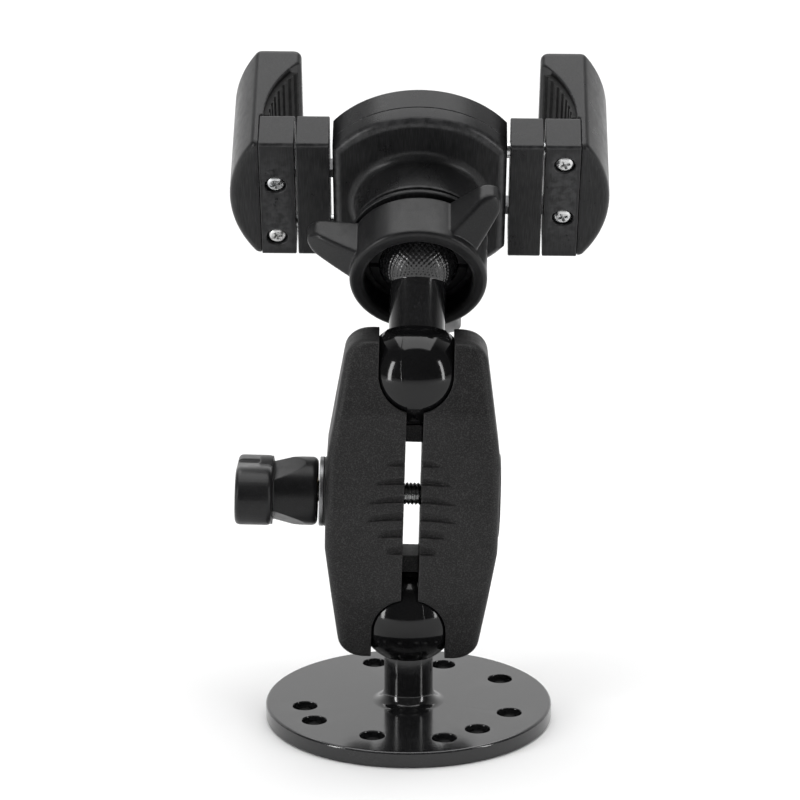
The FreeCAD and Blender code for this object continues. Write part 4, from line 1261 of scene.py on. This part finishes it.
@dataclass
class Works:
    """Room for the gear, racks, rods and springs, shared by the disc and the jaws."""

    deep: float = 5.0
    gear: float = 4.15
    half_thick: float = 2.0
    axle: float = 1.2
    axle_half: float = 3.7
    rack: Flat = (-6.8, -2.65)
    rack_end: float = -17.0
    rod: float = 1.88
    rod_line: float = 11.4
    spring: float = 3.2
    spring_end: float = 17.0

    def heights(self) -> Flat:
        """Lower and upper end of the room for the racks."""
        return -self.deep - self.half_thick, -self.deep + self.half_thick

    def rod_room(self, radius: float, start: float, end: float) -> Shape:
        """Cylinder on a guide rod's line."""
        return placed(slab(ring_of(radius, 40, (self.rod_line, -self.deep)), start, end), ALONG_X)

    def cutters(self) -> list[Shape]:
        """Cutters for the gear and its axle, and for each side's rack, rod and spring."""
        tools = [slab(ring_of(self.gear), *self.heights()),
                 slab(ring_of(self.axle, 32), -self.deep - self.axle_half, -self.deep + self.axle_half)]
        for turned in (Matrix(), HALF_TURN_Z):
            rack = block((self.rack_end, REACH), self.rack, self.heights())
            rod = self.rod_room(self.rod, 0, REACH)
            spring = self.rod_room(self.spring, -self.spring_end, self.spring_end)
            tools += [placed(tool, turned) for tool in (rack, rod, spring)]
        return tools


@dataclass
class Disc:
    """Disc of the holder in two shells, with the boss, the screws and the rubber pad."""

    radius: float = 24.2
    half_wide: float = 19.2
    thick: float = 10.6
    seam: float = 4.7
    back_edge: float = 2.0
    seam_edge: float = 0.22
    front_edge: float = 0.5
    boss: float = 14.0
    boss_cove: float = 2.2
    boss_high: float = 11.5
    ridge: float = 15.1
    ridge_high: float = 1.0
    ridge_edge: float = 0.25
    ring_down: float = 1.9
    ring_out: float = 0.55
    thread_count: int = 5
    thread_start: float = 0.35
    thread_pitch: float = 1.25
    thread_deep: float = 0.4
    sleeve: float = 12.4
    sleeve_top: float = 19.0
    cup: float = 10.88
    cup_floor: float = 3.92
    pad: float = 21.0
    pad_half: float = 17.4
    pad_edge: float = 0.4
    pad_thick: float = 1.2
    rib: Flat = (0.45, 0.35)
    rib_round: float = 0.15
    rib_half: float = 18.0
    rib_pitch: float = 3.0
    rib_rows: int = 5
    screw_at: Flat = (8.0, 19.0)
    screw_shank: float = 1.2
    screw_head: float = 2.1
    screw_high: float = 1.6
    screw_long: float = 7.5
    screw_gap: float = 0.05

    def outline(self, radius: float, half: float) -> list[Flat]:
        """Circle with a flat on each side.

        Args:
            radius: Radius of the circle.
            half: Distance to the flats.

        Returns:
            Points of the outline, counter-clockwise.
        """
        steps = 56
        turn = math.degrees(math.acos(half / radius))
        spans = ((turn, 180 - turn), (180 + turn, 360 - turn))
        return [point for start, end in spans for point in arc((0, 0), radius, start, end, steps)]

    def screw_space(self) -> list[Shape]:
        """Cutters for the four screws from the front face."""
        room = self.screw_head + self.screw_gap
        tools = []
        for x, y in self.corners():
            way = Matrix.Translation((x, y, -self.thick))
            tools.append(placed(slab(ring_of(self.screw_shank, 32), -1, self.screw_long), way))
            tools.append(placed(slab(ring_of(room, 48), -1, self.screw_high), way))
        return tools

    def corners(self) -> list[Flat]:
        """Places of the four screws."""
        x, y = self.screw_at
        return [(x, y), (-x, y), (-x, -y), (x, -y)]

    def boss_shape(self) -> Shape:
        """Boss with its foot, ridges and threaded sleeve."""
        foot, shelf = self.boss + self.boss_cove, self.boss_high + self.ridge_high
        root = self.sleeve - self.thread_deep
        rows = []
        for k in range(self.thread_count):
            height = shelf + self.thread_start + k * self.thread_pitch
            rows += [(self.sleeve, height), (root, height + 0.42), (root, height + 0.6),
                     (self.sleeve, height + 1.0)]
        under, proud = self.boss_high - self.ring_down, self.boss + self.ring_out
        cove = arc((foot, self.boss_cove), self.boss_cove, 270, 180, 10)
        profile = [(0, -self.back_edge), (foot, -self.back_edge), *cove,
                   (self.boss, under), (proud, under + 0.2), (proud, under + 0.75),
                   (self.boss, under + 0.95), (self.boss, self.boss_high),
                   *soft([(self.boss, self.boss_high, 0), (self.ridge, self.boss_high, self.ridge_edge),
                          (self.ridge, shelf, self.ridge_edge), (self.sleeve, shelf, 0)], looped=False)[1:],
                   *rows, (self.sleeve, self.sleeve_top), (self.cup, self.sleeve_top),
                   (self.cup, self.cup_floor), (0, self.cup_floor)]
        return lathe(profile, 144)

    def build(self) -> None:
        """Make the shells, screws and pad."""
        rear = slab(self.outline(self.radius, self.half_wide), -self.seam, 0, self.seam_edge, self.back_edge)
        joined(Join.ADD, rear, self.boss_shape())
        joined(Join.CUT, rear, *Works().cutters(), *self.screw_space())
        fitted("disc_back_shell", rear, HOLDER, "holder", ANODISED, "back_housing")
        front = slab(self.outline(self.radius, self.half_wide), -self.thick, -self.seam, self.front_edge,
                     self.seam_edge)
        joined(Join.CUT, front, *Works().cutters(), *self.screw_space())
        fitted("disc_front_shell", front, HOLDER, "holder", ANODISED, "front_housing")
        for index, (x, y) in enumerate(self.corners(), 1):
            made = screw(self.screw_head, 0, -self.screw_high, self.screw_long, self.screw_shank)
            place = HOLDER @ Matrix.Translation((x, y, -self.thick)) @ HALF_TURN_X
            fitted(f"shell_screw_{index}", made, place, "holder", ZINC, f"housing_screw_{index}")
        front_face = -self.thick - self.pad_thick
        pad = slab(self.outline(self.pad, self.pad_half), front_face, -self.thick, self.pad_edge)
        wide, deep = self.rib
        corners = ((-wide, -deep), (wide, -deep), (wide, deep), (-wide, deep))
        section = soft([(x, y, self.rib_round) for x, y in corners])
        ribs = [placed(slab(section, -self.rib_half, self.rib_half),
                       ALONG_X @ Matrix.Translation((line * self.rib_pitch, front_face, 0)))
                for line in range(-self.rib_rows, self.rib_rows + 1)]
        joined(Join.CUT, pad, *ribs)
        fitted("phone_pad", pad, HOLDER, "holder", PAD_RUBBER, "front_pad")
        carried("pinion", ACETAL)
        carried("pinion_pin", ZINC)


@dataclass
class Jaw:
    """One sliding side: blocks, shell with its hook, rubber, rod, rack, spring and screws."""

    side: str
    half_long: float = 16.95
    deep: float = 9.8
    middle: Flat = (19.9, 27.2)
    inner: Flat = (27.6, 35.4)
    shell_out: float = 42.2
    shell_round: float = 28.5
    shell_deep: float = 31.6
    shell_edge: float = 1.4
    corner: float = 1.7
    grid: float = 0.26
    kept_faces: float = 0.45
    hook_tip: float = 26.8
    hook_round: float = 24.4
    hook_centre: float = 10.2
    edge: float = 0.8
    end_edge: float = 0.3
    rack_line: float = -4.6
    rack_seat: Flat = (-6.6, -2.6)
    rack_half_thick: float = 1.8
    rod: float = 1.8
    rod_round: float = 0.25
    rod_tip_round: float = 0.3
    rod_tail: float = 15.6
    rod_head: float = 34.6
    collar: float = 2.9
    collar_thick: float = 1.2
    coil: float = 2.45
    wire: float = 0.3
    turns: int = 17
    turns_eased: float = 0.035
    grip_thick: float = 1.2
    rib_high: float = 0.32
    grip_half: float = 15.4
    grip_reach: Flat = (1.5, 15.5)
    screw_out: float = 31.9
    screw_shank: float = 1.0
    screw_head: float = 2.0
    screw_recess: float = 2.4
    recess_deep: float = 1.5
    recess_lip: float = 0.25
    screw_top: float = -0.2
    screw_long: float = 8.2

    def bar(self, ends: Flat) -> Shape:
        """Block across the jaw with rounded long edges."""
        outline = soft([(-self.half_long, -self.deep, self.edge), (self.half_long, -self.deep, self.edge),
                        (self.half_long, 0, self.edge), (-self.half_long, 0, self.edge)])
        return placed(slab(outline, *ends, self.end_edge, self.end_edge), ALONG_X)

    def piece(self, name: str, shape: Shape, body: str | None, finish: Finish, node: str,
              sharp: float = 40) -> Shape:
        """Finish a piece of this side and set it on one of its bodies."""
        full, place = f"{name}_{self.side}", SIDES[self.side]
        return fitted(full, shape, place, body, finish, f"{node}_{self.side}", sharp=sharp)

    def blocks(self) -> None:
        """Middle block and jaw block."""
        works = Works()
        mid = self.bar(self.middle)
        slot = block((0, REACH), works.rack, works.heights())
        joined(Join.CUT, mid, slot, works.rod_room(works.rod, 0, REACH))
        self.piece("middle_block", mid, f"mid_{self.side}", ANODISED, "mid_block")
        jaw = self.bar(self.inner)
        heights = (-works.deep - self.rack_half_thick, -works.deep + self.rack_half_thick)
        start, floor, wide = self.middle[0], -self.recess_deep, self.screw_recess + self.recess_lip
        tools = [block((start, self.rod_head), self.rack_seat, heights),
                 works.rod_room(self.rod, start, self.rod_head)]
        for line in (works.rod_line, self.rack_line):
            spot = Matrix.Translation((self.screw_out, line, 0))
            recess = lathe([(0, floor), (self.screw_recess, floor), (self.screw_recess, -self.recess_lip),
                            (self.screw_recess + 0.07, -0.1), (wide, 0), (wide, 1), (0, 1)], 48)
            shank = slab(ring_of(self.screw_shank, 24), -self.screw_long, -1)
            tools += [placed(recess, spot), placed(shank, spot)]
        joined(Join.CUT, jaw, *tools)
        self.piece("jaw_bar", jaw, f"jaw_{self.side}", ANODISED, "jaw_block")

    def shell(self) -> None:
        """D-shaped shell with its hook."""
        centre = self.shell_out - self.shell_round
        turn = math.degrees(math.asin(self.half_long / self.shell_round))
        steps, around = 40, 160
        face = arc((centre, 0), self.shell_round, -turn, turn, steps)
        rows = [(x, y, self.corner if k in (0, len(face) - 1) else 0) for k, (x, y) in enumerate(face)]
        tips = [(self.hook_tip, way * self.half_long, self.corner) for way in (1, -1)]
        outline = soft(tips + rows)
        made = slab(outline, -self.shell_deep, 0, self.shell_edge, self.shell_edge)
        round_hook = ring_of(self.hook_round, around, (self.hook_centre, -self.deep))
        inside = placed(slab(round_hook, -REACH, REACH), ALONG_Y)
        room = block((self.hook_tip - 2, self.inner[1]), (-REACH, REACH), (-self.deep, 2))
        joined(Join.CUT, made, inside, room)
        moulded(made, self.grid, 2, self.kept_faces)
        self.piece("jaw_shell", made, f"jaw_{self.side}", ANODISED, "jaw_shell", 70)

    def grip(self) -> None:
        """Ribbed rubber in the hook."""
        near, far = self.grip_reach
        outside, inside = [], []
        count, per_rib, plain_end = 84, 6, 3
        for k in range(count + 1):
            down = near + (far - near) * k / count
            rib = self.rib_high if (k // per_rib) % 2 and plain_end < k < count - plain_end else 0.0
            ring = self.hook_round - self.grip_thick + rib
            for line, radius in ((outside, self.hook_round), (inside, ring)):
                out = self.hook_centre + math.sqrt(radius ** 2 - down ** 2)
                line.append((out, -self.deep - down))
        outline = outside[::-1] + inside
        made = placed(slab(outline, -self.grip_half, self.grip_half), ALONG_Y)
        self.piece("jaw_rubber", made, f"jaw_{self.side}", PAD_RUBBER, "jaw_pad")

    def rod_and_spring(self) -> None:
        """Guide rod with its collar, and the coil round it."""
        line, deep, start = Works.rod_line, Works.deep, self.collar_thick - self.rod_tail
        shaft = lathe(soft([(0, -self.rod_tail, 0), (self.collar, -self.rod_tail, self.rod_round),
                            (self.collar, start, self.rod_round), (self.rod, start, 0),
                            (self.rod, self.rod_head, self.rod_tip_round), (0, self.rod_head, 0)],
                           looped=False), 48)
        placed(shaft, Matrix.Translation((0, line, -deep)) @ Matrix.Rotation(QUARTER, 4, "Y"))
        hole = placed(slab(ring_of(self.screw_shank, 24), -self.screw_long, 0),
                      Matrix.Translation((self.screw_out, line, 0)))
        joined(Join.CUT, shaft, hole)
        self.piece("slide_rod", shaft, f"jaw_{self.side}", ZINC, "guide_rod")
        low, high, per_turn = start + self.wire, Works.spring_end - self.wire, 28
        path = []
        steps = self.turns * per_turn
        for k in range(steps + 1):
            share, angle = k / steps, 2 * math.pi * k / per_turn
            rise = min(1.0, max(0.0, share + self.turns_eased * math.sin(2 * math.pi * share)))
            path.append(Vector((low + (high - low) * rise, line + self.coil * math.cos(angle),
                                -deep + self.coil * math.sin(angle))))
        coil = self.piece("spring_coil", tube(path, self.wire, 10), None, ZINC, "return_spring", 60)
        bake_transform(coil)

    def build(self) -> None:
        """Make this side."""
        self.blocks()
        self.shell()
        self.grip()
        self.rod_and_spring()
        carried(f"jaw_rack_{self.side}", DARK_STEEL)
        for index, line in enumerate((Works.rod_line, self.rack_line), 1):
            made = screw(self.screw_head, self.screw_top, -self.recess_deep,
                         self.screw_long, self.screw_shank)
            placed(made, Matrix.Translation((self.screw_out, line, 0)))
            self.piece(f"jaw_screw_head_{index}", made, f"jaw_{self.side}", ZINC, f"jaw_screw_{index}")


# ---------------------------------------------------------------- studio

@dataclass(frozen=True)
class SoftBox:
    """A soft light: its place to the right, away and up as the camera looks, its size and watts."""

    name: str
    at: tuple[float, float, float]
    size: Flat
    power: float


@dataclass
class Studio:
    """Pale floor, soft lights and the camera."""

    floor_half: float = 4.0
    floor_tone: float = 0.86
    floor_rough: float = 0.9
    sky: Flat = (0.10, 1.0)
    sky_from: Flat = (0.0, 0.8)
    camera_at: tuple[float, float, float] = (-0.0019, -0.7298, 0.2868)
    camera_turn: float = 20.0
    camera_pitch: float = 73.68
    lens: float = 157.5
    aim_high: float = 0.06
    boxes: tuple[SoftBox, ...] = (SoftBox("left_box", (-0.62, -0.36, 0.20), (0.10, 0.55), 2.4),
                                  SoftBox("right_box", (0.66, -0.34, 0.22), (0.08, 0.55), 1.7),
                                  SoftBox("top_box", (0.0, 0.6, 2.6), (3.2, 3.2), 95))

    def floor(self) -> None:
        """Pale plane the object stands on."""
        half, drift, cloud_size, cloud_range = self.floor_half, 0.01, 400, (0.3, 0.7)
        bm = bmesh.new()
        corners = ((-half, -half), (half, -half), (half, half), (-half, half))
        bm.faces.new([bm.verts.new((x, y, 0)) for x, y in corners])
        ground = linked(bm, "studio_floor")
        nodes = Nodes("studio_floor")
        place = nodes.add("ShaderNodeTexCoord", {}).outputs["Object"]
        tones = (self.floor_tone - drift, self.floor_tone + drift)
        tone = nodes.spread(nodes.noise(place, cloud_size), cloud_range, tones)
        both = nodes.add("ShaderNodeCombineColor", {0: tone, 1: tone, 2: tone})
        nodes.tree.links.new(both.outputs[0], nodes.shader.inputs["Base Color"])
        nodes.shader.inputs["Roughness"].default_value = self.floor_rough
        ground.data.materials.append(nodes.material)

    def turned(self) -> Matrix:
        """Turn from the camera's own sides to the row frame."""
        return Matrix.Rotation(math.radians(self.camera_turn), 4, "Z")

    def light(self, box: SoftBox) -> None:
        """Hang a soft box and point it at the object."""
        lamp = bpy.data.lights.new(box.name, "AREA")
        lamp.shape = "RECTANGLE"
        lamp.size, lamp.size_y = box.size
        lamp.energy = box.power
        made = bpy.data.objects.new(box.name, lamp)
        made.location = self.turned() @ Vector(box.at)
        aim = Vector((0, 0, self.aim_high)) - made.location
        made.rotation_euler = aim.to_track_quat("-Z", "Y").to_euler()
        bpy.context.scene.collection.objects.link(made)

    def shade(self, tree: bpy.types.NodeTree) -> None:
        """Make the sky bright behind the object and dim towards the camera; it stays fixed in the row frame.

        Args:
            tree: The world's nodes.
        """
        way = tree.nodes.new("ShaderNodeTexCoord").outputs["Generated"]
        behind = tree.nodes.new("ShaderNodeVectorMath")
        behind.operation = "DOT_PRODUCT"
        behind.inputs[1].default_value = self.turned() @ Vector((0, 1, 0))
        tree.links.new(way, behind.inputs[0])
        power = tree.nodes.new("ShaderNodeMapRange")
        for key, value in zip(("From Min", "From Max", "To Min", "To Max"), (*self.sky_from, *self.sky)):
            power.inputs[key].default_value = value
        tree.links.new(behind.outputs["Value"], power.inputs["Value"])
        sky = tree.nodes["Background"]
        sky.inputs["Color"].default_value = (1, 1, 1, 1)
        tree.links.new(power.outputs[0], sky.inputs["Strength"])

    def build(self) -> None:
        """Set the floor, the sky, the lights and the camera."""
        self.floor()
        world = bpy.data.worlds.new("studio_sky")
        world.use_nodes = True
        self.shade(world.node_tree)
        scene = bpy.context.scene
        scene.world = world
        for box in self.boxes:
            self.light(box)
        scene.view_settings.view_transform = "Standard"
        lens = bpy.data.cameras.new("camera")
        lens.lens = self.lens
        lens.clip_start = 0.01
        camera = bpy.data.objects.new("camera", lens)
        camera.location = self.turned() @ Vector(self.camera_at)
        camera.rotation_euler = (math.radians(self.camera_pitch), 0, math.radians(self.camera_turn))
        scene.collection.objects.link(camera)
        scene.camera = camera


def main() -> None:
    """Build every sub-assembly in order, then the studio."""
    logging.basicConfig(level=logging.INFO, format="%(name)s: %(message)s")
    Base().build()
    swivel = Matrix.Rotation(math.radians(SWIVEL), 4, "Z")
    post = Matrix.Translation(LOWER_BALL) @ swivel @ Matrix.Scale(MM, 4)
    BallCover(Base.post).build("lower_ball_rubber", "lower_ball_cover", post, "lower_ball")
    BallCover(Stem.radius).build("upper_ball_rubber", "upper_ball_cover", STEM @ HALF_TURN_X, "upper_ball")
    Arm().build()
    Clamp().build()
    Knob().build()
    Stem().build()
    Socket().build()
    Disc().build()
    for side in SIDES:
        Jaw(side).build()
    Studio().build()


if __name__ == "__main__":
    main()
